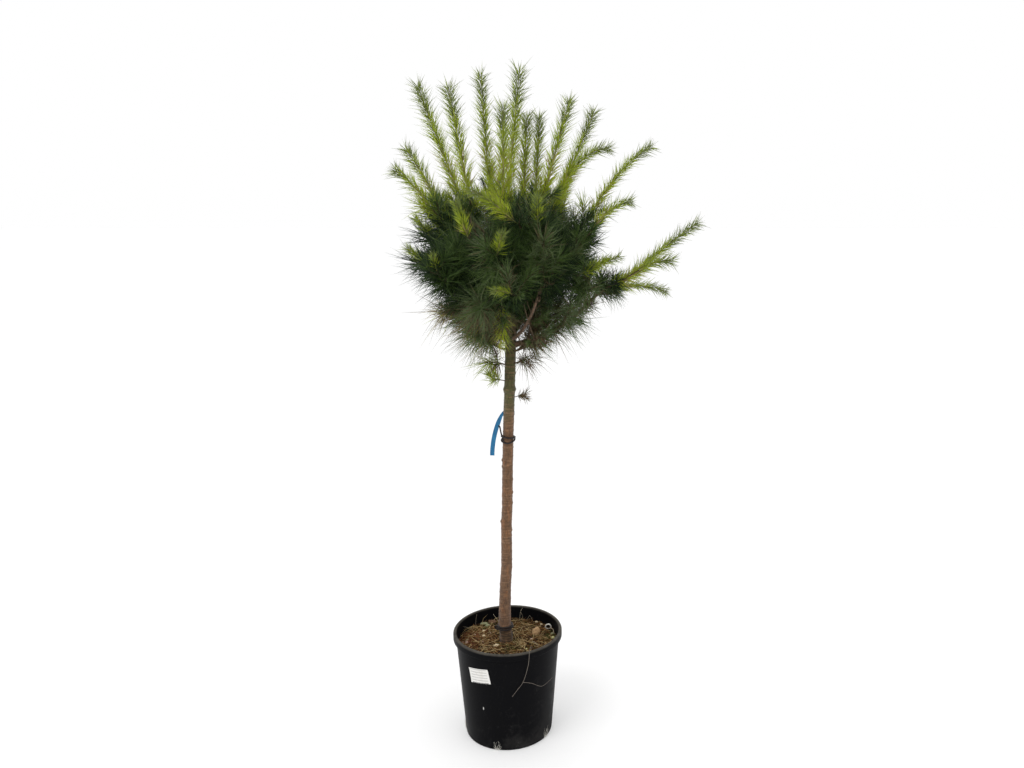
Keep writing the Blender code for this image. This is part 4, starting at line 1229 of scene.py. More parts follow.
class Sprays:
    """The lines that a region's old needles, new needles and wood grow along."""

    def __init__(self, region):
        self.rng = random.Random(region)
        self.old, self.new, self.wood = Lines(), Lines(), Lines()
        stems, twigs = growth()
        for name in REGIONS[region]:
            path, radii = stems[name]
            self.wood.add(path, thick=(radii[0], radii[-1]))
            if name.startswith("low_"):
                self.add_sides(smooth_path(boughs()[name][0][2:], 5), LOW_SIDE_SIZE)
            for twig in twigs[name]:
                self.add_twig(twig, size_of(name))
            forks = [point for twig in twigs[name] for point in twig.old]
            for owner, base, tip in FRONT_SHOOTS:
                if owner == name:
                    self.add_front_shoot(forks, base, tip)

    def add_twig(self, twig, size):
        old, new = smooth_path(twig.old, 5), smooth_path(twig.new, 5)
        self.wood.add(old, thick=(TWIG_RADIUS * size, SHOOT_RADIUS * size))
        is_shoot = (twig.new[-1] - twig.new[0]).length > NEW_SHOOT_LENGTH and twig.new[-1].z > SHOOTS_ABOVE
        stem = WOOD_TINTS.index("green_stem" if is_shoot else "bark")
        self.wood.add(new, thick=(SHOOT_RADIUS * size, SHOOT_TIP_RADIUS * size), tint=stem)
        bare = round(BARE_SHARE * len(old))
        if is_shoot:
            dark = sum(point.x < ARM_GREEN for point in old)
            new = old[dark:-1] + new
            old = old[: dark + 1]
            self.add_old(old[bare:], size)
            self.add_new(new, size)
        else:
            self.add_old(old[bare:] + new[1:], size)
        self.add_sides(old, size)

    def add_front_shoot(self, forks, base, tip):
        thick, middle, thin = FRONT_RADII
        fork = min(forks, key=lambda point: (point - base).length)
        self.wood.add(hermite(fork, base - fork, base, tip - base, 6), thick=(thick, middle))
        shoot = [base.lerp(tip, k / 12) for k in range(13)]
        self.wood.add(shoot, thick=(middle, thin), tint=WOOD_TINTS.index("green_stem"))
        self.add_new(shoot, FRONT_SHOOT_SIZE)

    def add_sides(self, limb, size):
        for path in side_paths(limb, size, self.rng):
            self.wood.add(path, thick=tuple(radius * size for radius in SIDE_RADII))
            self.add_old(path[1:], size)

    def add_old(self, path, size):
        """An old twig's needles, as far as the place where it has to be bare."""
        needles = bpy.context.scene.stone_pine_needles
        path = list(itertools.takewhile(lambda point: not is_open(point), path))
        if len(path) < 2:
            return
        end = path[-1]
        tint = NEEDLE_TINTS.index(old_tint(end, self.rng))
        reach = needles.old_length * size * self.rng.uniform(*OLD_REACHES) * slimness(end)
        reach = min(reach, FRONT_LIMIT + end.y, max(LEAST_REACH, open_distance(end) - OPEN_EDGE))
        if not in_head(end, 0.95):
            reach *= OUTER_REACH
        reach = min(reach, max(LEAST_REACH, TOP_LIMIT - end.z))
        lean = tuple(needles.old_lean * share for share in OLD_LEANS)
        low = min(1, max(0, (HANG_TOP - end.z) / HANG_DEPTH))
        hang = HANG_LEAST + HANG_MORE * low if size > 0.5 else 0
        self.old.add(path, tint=tint, hang=hang, reach=(OLD_FOOT_REACH * reach, reach), lean=lean)

    def add_new(self, path, size):
        """A new shoot's needles are yellow-green at its foot and greyer and shorter at its tip."""
        needles = bpy.context.scene.stone_pine_needles
        span = (path[-1] - path[0]).length
        reach = needles.new_length * size * self.rng.uniform(*NEW_SPREAD)
        reach *= math.sqrt(slimness(path[-1]))
        reach *= min(1, SHORT_SHARE + span * SHORT_GAIN)
        is_short = span < SHORT_SHOOT and size == 1
        third = len(path) // 3
        cuts = (0, third, 2 * third, len(path) - 1)
        for k, tint in enumerate(("fresh" if is_short else "lime", "fresh", "tip")):
            given = {"tint": NEEDLE_TINTS.index(tint), "hang": NEW_HANG}
            given["reach"] = tuple(reach * share for share in NEW_REACHES[k])
            given["lean"] = tuple(needles.new_lean * share for share in NEW_LEANS[k])
            self.new.add(path[cuts[k] : cuts[k + 1] + 1], **given)


@functools.cache
def sprays(region):
    return Sprays(region)


def grow_pieces(kind, part, slot, group, values, seed=0):
    """One piece for each side of the head, grown along that part of the side's sprays."""
    for k, (region, masses) in enumerate(REGIONS.items()):
        name = kind + "_" + region
        start = getattr(sprays(region), part).mesh(name)
        made = grown(name, start, group, {**values, "Seed": seed + k})
        fit(made, slot, *["mass_" + mass for mass in masses])


class STONEPINE_OT_old_needles(bpy.types.Operator):
    """Grows the long dark needles of the old twigs"""

    bl_idname = "stonepine.old_needles"
    bl_label = "Old Needles"

    def execute(self, context):
        needles = context.scene.stone_pine_needles
        values = {tint: needle(tint) for tint in NEEDLE_TINTS}
        values.update({"Blade": blade(*LONG_BLADE), "Pitch": needles.old_pitch, "Width": needles.old_width})
        grow_pieces("old_needles", "old", "needles", spray_group(), values, 100)
        return {"FINISHED"}


class STONEPINE_OT_new_needles(bpy.types.Operator):
    """Grows the short pale needles of the new shoots"""

    bl_idname = "stonepine.new_needles"
    bl_label = "New Needles"

    def execute(self, context):
        needles = context.scene.stone_pine_needles
        values = {tint: needle(tint) for tint in NEEDLE_TINTS}
        values.update({"Blade": blade(*SHORT_BLADE), "Pitch": needles.new_pitch, "Width": needles.new_width})
        values.update({"Curl": 0.14, "Lean Spread": 0.30, "Length Spread": 0.34})
        grow_pieces("new_needles", "new", "needles", spray_group(), values, 200)
        return {"FINISHED"}


class STONEPINE_OT_twigs(bpy.types.Operator):
    """Skins the twigs and the stems of the new shoots"""

    bl_idname = "stonepine.twigs"
    bl_label = "Twigs"

    def execute(self, context):
        wood = context.scene.stone_pine_wood
        values = {
            "bark": grained("twig_bark", tuple(wood.twig), 0.85, 420, 0.5, 0.0004),
            "green_stem": grained("green_stem", tuple(wood.stem), 0.7, 500, 0.3, 0.0003),
        }
        grow_pieces("twigs", "wood", "bough_bark", wood_group(), values)
        return {"FINISHED"}


# Bark

# Knobs and scars on the trunk: height, direction in degrees, lift and spread
KNOBS = (
    (0.793, 185, 0.0030, 0.0045),
    (0.775, 190, 0.0022, 0.0040),
    (0.739, -20, 0.0020, 0.0045),
    (0.702, -8, 0.0024, 0.0040),
    (0.672, -15, 0.0022, 0.0040),
    (0.617, 182, 0.0026, 0.0045),
    (0.593, -10, 0.0022, 0.0042),
    (0.520, 120, 0.0024, 0.0042),
    (0.470, 40, 0.0022, 0.0042),
    (0.388, 215, -0.0012, 0.0050),
    (0.350, 75, 0.0022, 0.0042),
    (0.905, 60, 0.0024, 0.0042),
    (0.930, 250, 0.0016, 0.0040),
    (1.032, 20, 0.0024, 0.0045),
)
SCAR_PITCH = 0.023
SCAR_PLACE = Vector((-0.0065, -0.0150, 0.3925))
SCAR_SIZE = 0.0050

# How far the stem strays to the right of its straight line, at eight heights
STRAY_HEIGHTS = (0.281, 0.300, 0.312, 0.37, 0.43, 0.49, 0.607, 0.66)
STRAY_DISTANCES = (0.0034, 0.0, -0.0020, -0.0028, -0.0026, 0.0, -0.0018, 0.0)
BARK_SHARE = 0.86
TRUNK_RINGS = 560
TRUNK_RING_SIDES = 44
BOUGH_RINGS = 40
BOUGH_SIDES = 16
BOUGH_RELIEF = 0.7
COLLAR_SWELL = 0.35
COLLAR_RINGS = 3.0


def seen_axis(height):
    return trunk_axis(height) + Vector((np.interp(height, STRAY_HEIGHTS, STRAY_DISTANCES), 0, 0))


def bark_relief(spot, size=1.0):
    """How far the bark stands out at a point, in metres: plates, cracks and bands."""
    plate = noise.noise(Vector((spot.x * 210, spot.y * 210, spot.z * 70)))
    ridge = 1 - abs(noise.noise(Vector((spot.x * 130 + 9, spot.y * 130, spot.z * 34)))) * 2
    band = noise.noise(Vector((spot.x * 14, spot.y * 14, spot.z * 160)))
    return size * (0.00035 * plate - 0.0009 * max(0, ridge - 0.72) / 0.28 + 0.00045 * max(0, band))


def trunk_relief(spot):
    lift = bark_relief(spot)
    axis = seen_axis(spot.z)
    bearing = math.atan2(spot.y - axis.y, spot.x - axis.x)
    for height, degrees, rise, spread in KNOBS:
        if abs(spot.z - height) < 3 * spread:
            aside = math.remainder(bearing - math.radians(degrees), math.tau) * TRUNK_RADIUS
            lift += rise * math.exp(-((spot.z - height) ** 2 + aside**2) / spread**2)
    wave = noise.noise(Vector((math.cos(bearing), math.sin(bearing), spot.z * 6))) * 0.006
    scar = math.remainder(spot.z + wave, SCAR_PITCH) / 0.0016
    return lift + 0.0006 * math.exp(-scar * scar)


def store_cracks(obj, size=1.0):
    """Keeps how deep each point lies in a crack, for the bark's colours."""
    depths = []
    for vertex in obj.data.vertices:
        scar = math.exp(-((vertex.co - SCAR_PLACE).length / SCAR_SIZE) ** 2)
        depths.append(min(1, max(0, -bark_relief(vertex.co) / (0.0007 * size), 1.3 * scar)))
    obj.data.attributes.new("crack", "FLOAT", "POINT").data.foreach_set("value", depths)


class STONEPINE_OT_trunk(bpy.types.Operator):
    """Skins the trunk with cracked bark, scars and knobs"""

    bl_idname = "stonepine.trunk"
    bl_label = "Trunk"

    def execute(self, context):
        foot = SOIL_TOP + GAP
        bm = bmesh.new()
        rings = []
        for j in range(TRUNK_RINGS + 1):
            z = foot + (TRUNK_TOP - foot) * j / TRUNK_RINGS
            axis, radius = seen_axis(z), trunk_radius(z)
            spots = [(axis + ray * radius, ray) for ray in rays(TRUNK_RING_SIDES)]
            rings.append([bm.verts.new(spot + ray * trunk_relief(spot)) for spot, ray in spots])
        loft(bm, rings, True)
        trunk = mesh_object("trunk_bark", bm, bark())
        store_cracks(trunk)
        fit(trunk, "bark", "trunk")
        return {"FINISHED"}


class STONEPINE_OT_boughs(bpy.types.Operator):
    """Skins the twelve boughs and the collars where they leave the trunk"""

    bl_idname = "stonepine.boughs"
    bl_label = "Boughs"

    def execute(self, context):
        bm = bmesh.new()
        for _, height, degrees, reach, rise, thick in BOUGHS:
            path = bough_path(height, degrees, reach, rise, BOUGH_RINGS)
            radii = taper(BARK_SHARE * thick, BARK_SHARE * thick * BOUGH_TIP_SHARE, len(path))
            swell = COLLAR_SWELL * thick
            radii = [r + swell * math.exp(-k / COLLAR_RINGS) for k, r in enumerate(radii)]
            skin(bm, path, radii, BOUGH_SIDES, lambda spot: bark_relief(spot, BOUGH_RELIEF))
        obj = mesh_object("bough_bark", bm, bark("bough_bark", 0.8))
        store_cracks(obj, BOUGH_RELIEF)
        fit(obj, "bough_bark", *["bough_" + row[0] for row in BOUGHS])
        return {"FINISHED"}


# Pot and soil


def wall_radius(height):
    """Outer radius of the pot's wall at a height."""
    return POT_FOOT_RADIUS + (POT_NECK_RADIUS - POT_FOOT_RADIUS) * height / (POT_HEIGHT - POT_RIM_DEPTH)


def pot_profile():
    under_rim = POT_HEIGHT - POT_RIM_DEPTH
    ceiling = POT_HEIGHT - POT_WALL
    lip = POT_RIM_RADIUS - POT_RIM_ROUND
    mouth = wall_radius(POT_HEIGHT) - POT_WALL
    profile = [(0, 0), (POT_FOOT_RADIUS - POT_CORNER, 0)]
    profile += arc((POT_FOOT_RADIUS - POT_CORNER, POT_CORNER), POT_CORNER, -75, 0, 5)
    profile += [(wall_radius(0.25 * k * ceiling), 0.25 * k * ceiling) for k in range(1, 5)]
    profile += [(POT_RIM_RADIUS - POT_WALL, ceiling), (POT_RIM_RADIUS - POT_WALL, under_rim)]
    profile += arc((POT_RIM_RADIUS - 0.001, under_rim + 0.001), 0.001, -90, 0, 3)
    profile += arc((lip, POT_HEIGHT - POT_RIM_ROUND), POT_RIM_ROUND, 0, 90, 8)
    profile += arc((mouth + POT_WALL, POT_HEIGHT - POT_WALL), POT_WALL, 90, 180, 5)
    return profile + [(wall_radius(POT_FLOOR) - POT_WALL, POT_FLOOR), (0, POT_FLOOR)]


POT_STEPS = 128
DRAIN_DEPTH = 0.012


class STONEPINE_OT_pot(bpy.types.Operator):
    """Turns the pot, with its rolled rim and drain notches"""

    bl_idname = "stonepine.pot"
    bl_label = "Pot"

    def execute(self, context):
        bm = bmesh.new()
        turned(bm, pot_profile(), POT_STEPS)
        pot = mesh_object("pot_shell", bm, black_plastic())
        cutters = bmesh.new()
        for k in range(DRAIN_COUNT):
            outward = compass(DRAIN_START + 360 * k / DRAIN_COUNT)
            ends = [outward * (POT_FOOT_RADIUS + side) for side in (-DRAIN_DEPTH, DRAIN_DEPTH)]
            skin(cutters, ends, [DRAIN_RADIUS] * 2, 24)
        cutter = mesh_object("drains", cutters, is_smooth=False)
        cut = pot.modifiers.new("drains", "BOOLEAN")
        cut.operation = "DIFFERENCE"
        cut.solver = "EXACT"
        cut.object = cutter
        plain_mesh(pot).set_sharp_from_angle(angle=math.radians(40))
        bpy.data.objects.remove(cutter)
        fit(pot, "pot_plastic", "pot")
        return {"FINISHED"}


def soil_height(x, y):
    """The bed's height: flat round the trunk, lower at the wall, and rough all over."""
    soil = bpy.context.scene.stone_pine_soil
    radius = math.hypot(x, y)
    slope = max(0, (radius - SOIL_FLAT_RADIUS) / (wall_radius(SOIL_TOP) - SOIL_FLAT_RADIUS))
    rough = noise.fractal(Vector((x * 38, y * 38, 3)), 0.7, 2.1, 5)
    clump = noise.noise(Vector((x * 120, y * 120, 8)))
    calm = min(1, max(0.15, (radius - 0.016) / 0.03))
    return SOIL_TOP - SOIL_EDGE_DROP * slope + calm * soil.relief * (rough + 0.35 * clump)


SOIL_RINGS = 84
SOIL_RING_STEPS = 168
SOIL_WAIST = 0.235
SOIL_BOTTOM = POT_FLOOR + GAP
SCATTERED_SIZES = (0.0010, 0.0032)
SCATTERED_LIFT = 0.0006
SCATTERED_EDGE = 0.006


def inner_radius(height):
    return wall_radius(height) - POT_WALL - 3 * GAP


def soil_bed(is_closed):
    """The rough bed, alone or as a closed filling of the pot."""
    bm = bmesh.new()

    def ring(radius, height=None):
        spots = [ray * radius for ray in rays(SOIL_RING_STEPS)]
        return [bm.verts.new((x, y, soil_height(x, y) if height is None else height)) for x, y, _ in spots]

    edge = inner_radius(SOIL_TOP - SOIL_EDGE_DROP)
    rings = [[bm.verts.new((0, 0, soil_height(0, 0)))]]
    rings += [ring(edge * j / SOIL_RINGS) for j in range(1, SOIL_RINGS + 1)]
    if is_closed:
        rings += [ring(inner_radius(height), height) for height in (SOIL_WAIST, SOIL_BOTTOM)]
        rings.append([bm.verts.new((0, 0, SOIL_BOTTOM))])
    loft(bm, rings)
    return bm


LITTER_COLOURS = {
    "tan": (0.21, 0.100, 0.028),
    "rust": (0.13, 0.048, 0.014),
    "umber": (0.030, 0.015, 0.006),
    "olive": (0.12, 0.100, 0.022),
}

# What is strewn on the soil: density as a share of the setting, length, width, rise, curl, and the
# first and last of its tints
STREWN_INPUTS = ("Density", "Length", "Width", "Rise", "Curl", "First Tint", "Last Tint")
STREWN = {
    "litter": (0.75, 0.042, 0.00070, 0.30, 0.6, 0, 4),
    "straws": (0.75, 0.085, 0.00070, 0.30, 1.1, 0, 1),
    "fibres": (1.9, 0.022, 0.00042, 0.5, 0.6, 2, 4),
    "red_bark": (5.0, 0.008, 0.0012, 0.15, 0.15, 6, 6),
    "front_moss": (4.5, 0.0060, 0.0005, 3.0, 0.15, 5, 5),
    "left_moss": (10.0, 0.0060, 0.0005, 3.0, 0.15, 5, 5),
    "right_moss": (10.0, 0.0060, 0.0005, 3.0, 0.15, 5, 5),
}
STREWN_PLACES = {
    "litter": {"Patchiness": 0.86, "Patch Size": 0.030},
    "red_bark": {"Centre": (-0.105, 0.012, 0), "Spread": 0.075},
    "front_moss": {"Centre": (0.036, -0.045, 0), "Spread": 0.055},
    "left_moss": {"Centre": (-0.080, 0.095, 0), "Spread": 0.040},
    "right_moss": {"Centre": (0.120, 0.030, 0), "Spread": 0.040},
}

STONE_TINTS = {
    "cream": (0.62, 0.51, 0.33),
    "pink": (0.46, 0.32, 0.25),
    "clod": (0.42, 0.27, 0.14),
    "sage": (0.24, 0.25, 0.14),
    "leaf": (0.66, 0.68, 0.32),
    "brown": (0.13, 0.072, 0.040),
    # No stone: a dark, dull lump that is painted shade in gaps
    "hollow": (0.010, 0.007, 0.005),
}

# Stones, clods and scraps on the soil: place, size, height as a share of it, and tint
STONES = (
    ((-0.0701, 0.0219, 0.265), 0.0052, 0.8, "cream"),
    ((-0.0297, -0.0331, 0.265), 0.0088, 0.6, "cream"),
    ((-0.0749, 0.0557, 0.264), 0.0042, 0.8, "cream"),
    ((-0.1146, -0.0131, 0.264), 0.0042, 0.7, "pink"),
    ((-0.0695, -0.0102, 0.264), 0.0036, 0.7, "pink"),
    ((-0.0460, -0.0646, 0.262), 0.0040, 0.7, "pink"),
    ((0.0554, -0.0490, 0.264), 0.0026, 0.8, "leaf"),
    ((0.0660, 0.0053, 0.265), 0.0038, 0.7, "pink"),
    ((0.0765, 0.0345, 0.270), 0.0118, 1.2, "clod"),
    ((0.0800, 0.0330, 0.281), 0.0070, 1.0, "clod"),
    ((0.0743, 0.1172, 0.262), 0.0050, 0.6, "cream"),
    ((0.0900, 0.1000, 0.262), 0.0040, 0.7, "cream"),
    ((-0.0790, 0.1020, 0.262), 0.0110, 0.5, "sage"),
    ((-0.0664, 0.0904, 0.263), 0.0075, 0.5, "sage"),
    ((-0.0559, 0.1082, 0.265), 0.0120, 0.6, "brown"),
    ((0.1253, 0.0177, 0.263), 0.0062, 0.6, "leaf"),
    ((0.1240, 0.0450, 0.261), 0.0060, 0.5, "sage"),
    # Painted shade: a dark lump inside the curled ring
    ((0.1113, 0.0740, 0.2700), 0.0066, 1.0, "hollow"),
)
SCATTERED = 70

# Stalks on the soil: radius and points
STALKS = (
    (0.0005, ((0.0236, 0.130, 0.260), (0.0269, 0.130, 0.287), (0.0334, 0.130, 0.2993))),
    (0.0004, ((0.0269, 0.130, 0.287), (0.0310, 0.130, 0.2803), (0.0350, 0.126, 0.262))),
    (0.0004, ((0.0420, 0.124, 0.260), (0.0543, 0.124, 0.2776))),
    (0.0004, ((0.0640, 0.122, 0.258), (0.0575, 0.122, 0.2764), (0.0520, 0.122, 0.2790))),
    (0.0003, ((-0.1030, 0.090, 0.258), (-0.1015, 0.093, 0.280), (-0.0993, 0.098, 0.2949))),
    (0.0004, ((-0.1120, 0.075, 0.262), (-0.1240, 0.062, 0.272), (-0.1330, 0.045, 0.283))),
    (0.0006, ((-0.0300, 0.105, 0.260), (-0.0524, 0.110, 0.2901))),
    (0.0008, ((0.0669, -0.011, 0.264), (0.0760, -0.024, 0.2715), (0.0869, -0.0359, 0.2660))),
    (0.0012, ((0.1190, 0.068, 0.268), (0.1262, 0.058, 0.267), (0.1290, 0.042, 0.262))),
)
RING_CENTRE = Vector((0.1113, 0.0715, 0.2702))
RING_RADIUS = 0.0078
RING_THICKNESS = 0.0022

# The dry stem that hangs over the rim, and its fork
STEM_PATH = (
    (0.0678, -0.0272, 0.2620),
    (0.0690, -0.0850, 0.2840),
    (0.0692, -0.1280, 0.3035),
    (0.0694, -0.1390, 0.3045),
    (0.0690, -0.1420, 0.2960),
    (0.0671, -0.1412, 0.2737),
    (0.0606, -0.1345, 0.2420),
    (0.0506, -0.1336, 0.2116),
    (0.0372, -0.1362, 0.1932),
    (0.0216, -0.1382, 0.1721),
)
FORK_PATH = (
    (0.0506, -0.1336, 0.2116),
    (0.0741, -0.1350, 0.2097),
    (0.0983, -0.1250, 0.1951),
    (0.1142, -0.1120, 0.1978),
    (0.1288, -0.1000, 0.2066),
)
DRY_STEM = ((0.0009, STEM_PATH), (0.0006, FORK_PATH))
DRAIN_ROOTS = 26
ROOT_RADIUS = 0.00024
ROOT_CLIMBS = (0.0020, 0.0045, 0.0100)


def lump(bm, centre, size, flat, material, fineness=3):
    """Adds a rough stone or clod."""
    made = bmesh.ops.create_icosphere(bm, subdivisions=fineness, radius=1)["verts"]
    salt = Vector((centre[0] * 900, centre[1] * 700, 0))
    for vertex in made:
        ray = vertex.co.copy()
        rough = 1 + 0.30 * noise.noise(1.3 * ray + salt) + 0.10 * noise.noise(4 * ray + salt)
        vertex.co = Vector(centre) + Vector((ray.x, 0.8 * ray.y, flat * ray.z)) * size * rough
    for face in {face for vertex in made for face in vertex.link_faces}:
        face.material_index = material


def soil_stones():
    """The stones and scraps that show, smaller ones scattered between them, and dark lumps of painted shade.
    """
    bm = bmesh.new()
    tints = list(STONE_TINTS)
    for centre, size, flat, tint in STONES:
        lump(bm, centre, size, flat, tints.index(tint))
    rng = random.Random(SEED)
    reach = wall_radius(SOIL_TOP) - POT_WALL - SCATTERED_EDGE
    for _ in range(SCATTERED):
        spot = compass(rng.uniform(0, 360)) * reach * math.sqrt(rng.uniform(0.06, 1))
        centre = (spot.x, spot.y, soil_height(spot.x, spot.y) + SCATTERED_LIFT)
        # Some scattered lumps are dark painted shade in the gaps of the soil
        tint = rng.choice(("cream", "pink", "brown", "brown", "clod", "hollow"))
        lump(bm, centre, rng.uniform(*SCATTERED_SIZES), 0.6, tints.index(tint), 2)
    stuffs = []
    for tint, colour in STONE_TINTS.items():
        # The lumps of painted shade get almost no shine
        shine = 0.01 if tint == "hollow" else 0.3
        stuffs.append(grained("stone_" + tint, colour, 0.85, 260, 0.3, 0.0006, shine))
    return mesh_object("soil_stones", bm, *stuffs)


def tubes(name, rows, material, sides=6, steps=5):
    """One mesh of closed tubes along smoothed paths. Each row is a radius and points."""
    bm = bmesh.new()
    for radius, points in rows:
        path = smooth_path([Vector(point) for point in points], steps)
        skin(bm, path, taper(radius, 0.6 * radius, len(path)), sides)
    return mesh_object(name, bm, material)


def curled_ring():
    turns = [math.tau * k / 12 for k in range(13)]
    rays = [Vector((math.sin(a), -0.25 * math.cos(a), math.cos(a))) for a in turns]
    return [RING_CENTRE + RING_RADIUS * ray for ray in rays]


def drain_roots():
    """Fine roots that wander out of the drain notches and up the wall."""
    rng = random.Random(SEED)
    rows = []
    for k in range(DRAIN_COUNT):
        for _ in range(DRAIN_ROOTS):
            bearing = DRAIN_START + 360 * k / DRAIN_COUNT + rng.uniform(-4, 4)
            height, off = rng.uniform(0.0008, 0.006), 0.0004
            climb = rng.choice(ROOT_CLIMBS)
            points = []
            for _ in range(5):
                points.append((wall_radius(height) + off) * compass(bearing) + height * UP)
                bearing += rng.uniform(-1.4, 1.4)
                height += climb * rng.uniform(0.3, 1)
                off = min(0.0025, off + rng.uniform(0, 0.0008))
            rows.append((ROOT_RADIUS, points))
    return rows


class STONEPINE_OT_soil(bpy.types.Operator):
    """Fills the pot with a rough bed of soil and strews litter, moss, stones and stalks on it"""

    bl_idname = "stonepine.soil"
    bl_label = "Soil"

    def execute(self, context):
        soil = context.scene.stone_pine_soil
        fit(mesh_object("soil_bed", soil_bed(True), peat()), "soil_mix", "soil")
        tints = LITTER_COLOURS | {name: tuple(getattr(soil, name)) for name in ("straw", "moss", "red")}
        values = {tint: grained("litter_" + tint, tints[tint], 0.85, 300) for tint in LITTER_TINTS}
        values["Blade"] = blade(*LONG_BLADE)
        for k, (kind, row) in enumerate(STREWN.items()):
            own = {**values, **dict(zip(STREWN_INPUTS, row)), **STREWN_PLACES.get(kind, {}), "Seed": 40 + k}
            own["Density"] *= soil.litter
            bed = mesh_object("bed", soil_bed(False))
            start = bed.data
            bpy.data.objects.remove(bed)
            fit(grown("soil_" + kind, start, litter_group(), own), "soil_mix")
        fit(soil_stones(), "soil_mix")
        ring = [(RING_THICKNESS, curled_ring())]
        stalk = grained("stalk", (0.42, 0.37, 0.27), 0.8, 400)
        shell = grained("ring_shell", (0.90, 0.88, 0.80), 0.7, 400, 0.1)
        stem = grained("dry_stem", (0.14, 0.12, 0.10), 0.8, 400)
        root = grained("drain_root", (0.60, 0.58, 0.52), 0.8, 400)
        fit(tubes("soil_stalks", STALKS, stalk), "soil_mix")
        fit(tubes("curled_ring", ring, shell, 10), "soil_mix")
        fit(tubes("dry_stem", DRY_STEM, stem, 8), "soil_mix")
        fit(tubes("drain_roots", drain_roots(), root, 4, 3), "soil_mix")
        return {"FINISHED"}


# Ties, ribbon and sticker

RIBBON_WIDTH = 0.012
RIBBON_THICKNESS = 0.0006
RIBBON_TOP = 0.922
RIBBON_BOTTOM = 0.806
RIBBON_SWING = 0.031
RIBBON_WOUND = (20, 170)
RIBBON_TURN = 3
STICKER_WIDTH = 0.0645
STICKER_HEIGHT = 0.043
STICKER_THICKNESS = 0.0004
STICKER_CENTRE = 0.2232
STICKER_DIRECTION = math.radians(-119.3)
STICKER_TILT = math.radians(9)
RIBBON_STEPS = 30
RIBBON_CELLS = 6
RIBBON_EASE = 1.8
RIBBON_FALL = 1.15
RIBBON_HOLLOW = 3
STICKER_CELLS = (24, 14)
STICKER_CORNER = 0.86
STICKER_CORNER_LIFT = 0.006
STICKER_WAVE = 0.00006

# Strands of the ties: radius, and points as bearing in degrees, height and distance off the bark
LOW_LOOP = (
    (212, 0.3120, 0),
    (198, 0.3115, 0.0050),
    (190, 0.3080, 0.0075),
    (192, 0.3030, 0.0060),
    (206, 0.3005, 0.0010),
)
HIGH_ROUND = (
    (198, 0.8615, 0),
    (235, 0.8600, 0),
    (275, 0.8582, 0),
    (350, 0.8567, 0),
    (450, 0.8560, 0),
    (540, 0.8590, 0),
)
HIGH_UNDER = (
    (222, 0.8455, 0),
    (275, 0.8434, 0),
    (330, 0.8480, 0),
    (400, 0.8540, 0),
    (500, 0.8520, 0),
    (570, 0.8460, 0),
)
TIE_STRANDS = {
    "tie_low": (
        (0.0025, ((195, 0.3100, 0), (270, 0.3115, 0), (345, 0.3120, 0), (450, 0.3100, 0), (530, 0.3080, 0))),
        (0.0029, ((180, 0.3062, 0), (235, 0.3052, 0), (290, 0.3052, 0), (360, 0.3070, 0), (520, 0.3085, 0))),
        (0.0019, LOW_LOOP),
    ),
    "tie_high": (
        (0.0025, HIGH_ROUND),
        (0.0023, HIGH_UNDER),
        (0.0019, ((214, 0.8600, 0.001), (226, 0.8520, 0.0012), (236, 0.8450, 0.001))),
        (0.0020, ((208, 0.8610, 0.001), (205, 0.8720, 0.004), (203, 0.8870, 0.0072), (198, 0.8900, 0.0105))),
    ),
}


class STONEPINE_OT_ties(bpy.types.Operator):
    """Winds the two rubber ties round the trunk, with their loops and loose ends"""

    bl_idname = "stonepine.ties"
    bl_label = "Ties"

    def execute(self, context):
        rubber = grained("tie_rubber", (0.013, 0.008, 0.007), 0.5, 500, 0.5, 0.0003)
        for name, strands in TIE_STRANDS.items():
            bm = bmesh.new()
            for radius, keys in strands:
                path = []
                for bearing, height, off in smooth_path([Vector(key) for key in keys], 12):
                    reach = trunk_radius(height) + radius + 3 * GAP + off
                    path.append(seen_axis(height) + reach * compass(bearing))
                skin(bm, path, [radius] * len(path), 10)
            fit(mesh_object(name + "_strands", bm, rubber), "tie_rubber", name)
        return {"FINISHED"}


class STONEPINE_OT_ribbon(bpy.types.Operator):
    """Winds the marker ribbon round the trunk and lets it hang"""

    bl_idname = "stonepine.ribbon"
    bl_label = "Ribbon"

    def execute(self, context):
        steps = RIBBON_STEPS
        first, last = RIBBON_WOUND
        radius = trunk_radius(RIBBON_TOP) + 3 * GAP + RIBBON_THICKNESS / 2
        turns = [first + (last - first) * k / steps for k in range(steps + 1)]
        path = [trunk_axis(RIBBON_TOP) + radius * compass(turn) for turn in turns]
        ups = [UP.copy() for _ in path]
        side = path[-1]
        for t in [k / steps for k in range(1, steps + 1)]:
            out = -RIBBON_SWING * (1 - (1 - t) ** RIBBON_EASE)
            wave = 0.0012 * math.sin(9 * t)
            drop = (RIBBON_BOTTOM - RIBBON_TOP) * t**RIBBON_FALL
            path.append(side + Vector((out, -0.006 * t + wave, drop)))
            fall = path[-1] - path[-2]
            flat = Vector((fall.z, 0, -fall.x)).normalized() + Vector((0, 0.12 * math.sin(7 * t), 0))
            ups.append(UP.lerp(flat, min(1, RIBBON_TURN * t)).normalized())
        bm = bmesh.new()
        rings = []
        shares = [k / RIBBON_CELLS - 0.5 for k in range(RIBBON_CELLS + 1)]
        for (heading, _, _), point, up in zip(frames(path), path, ups):
            out = heading.cross(up).normalized() * RIBBON_THICKNESS / 2
            front = [point + up * RIBBON_WIDTH * s + out * (1 - RIBBON_HOLLOW * (s * s)) for s in shares]
            back = [point + up * RIBBON_WIDTH * s - out * (1 + RIBBON_HOLLOW * (s * s)) for s in shares]
            rings.append([bm.verts.new(corner) for corner in front + back[::-1]])
        loft(bm, rings, True)
        tape = mesh_object("ribbon_tape", bm, blue_tape())
        tape.data.set_sharp_from_angle(angle=math.radians(50))
        fit(tape, "ribbon_plastic", "ribbon")
        return {"FINISHED"}


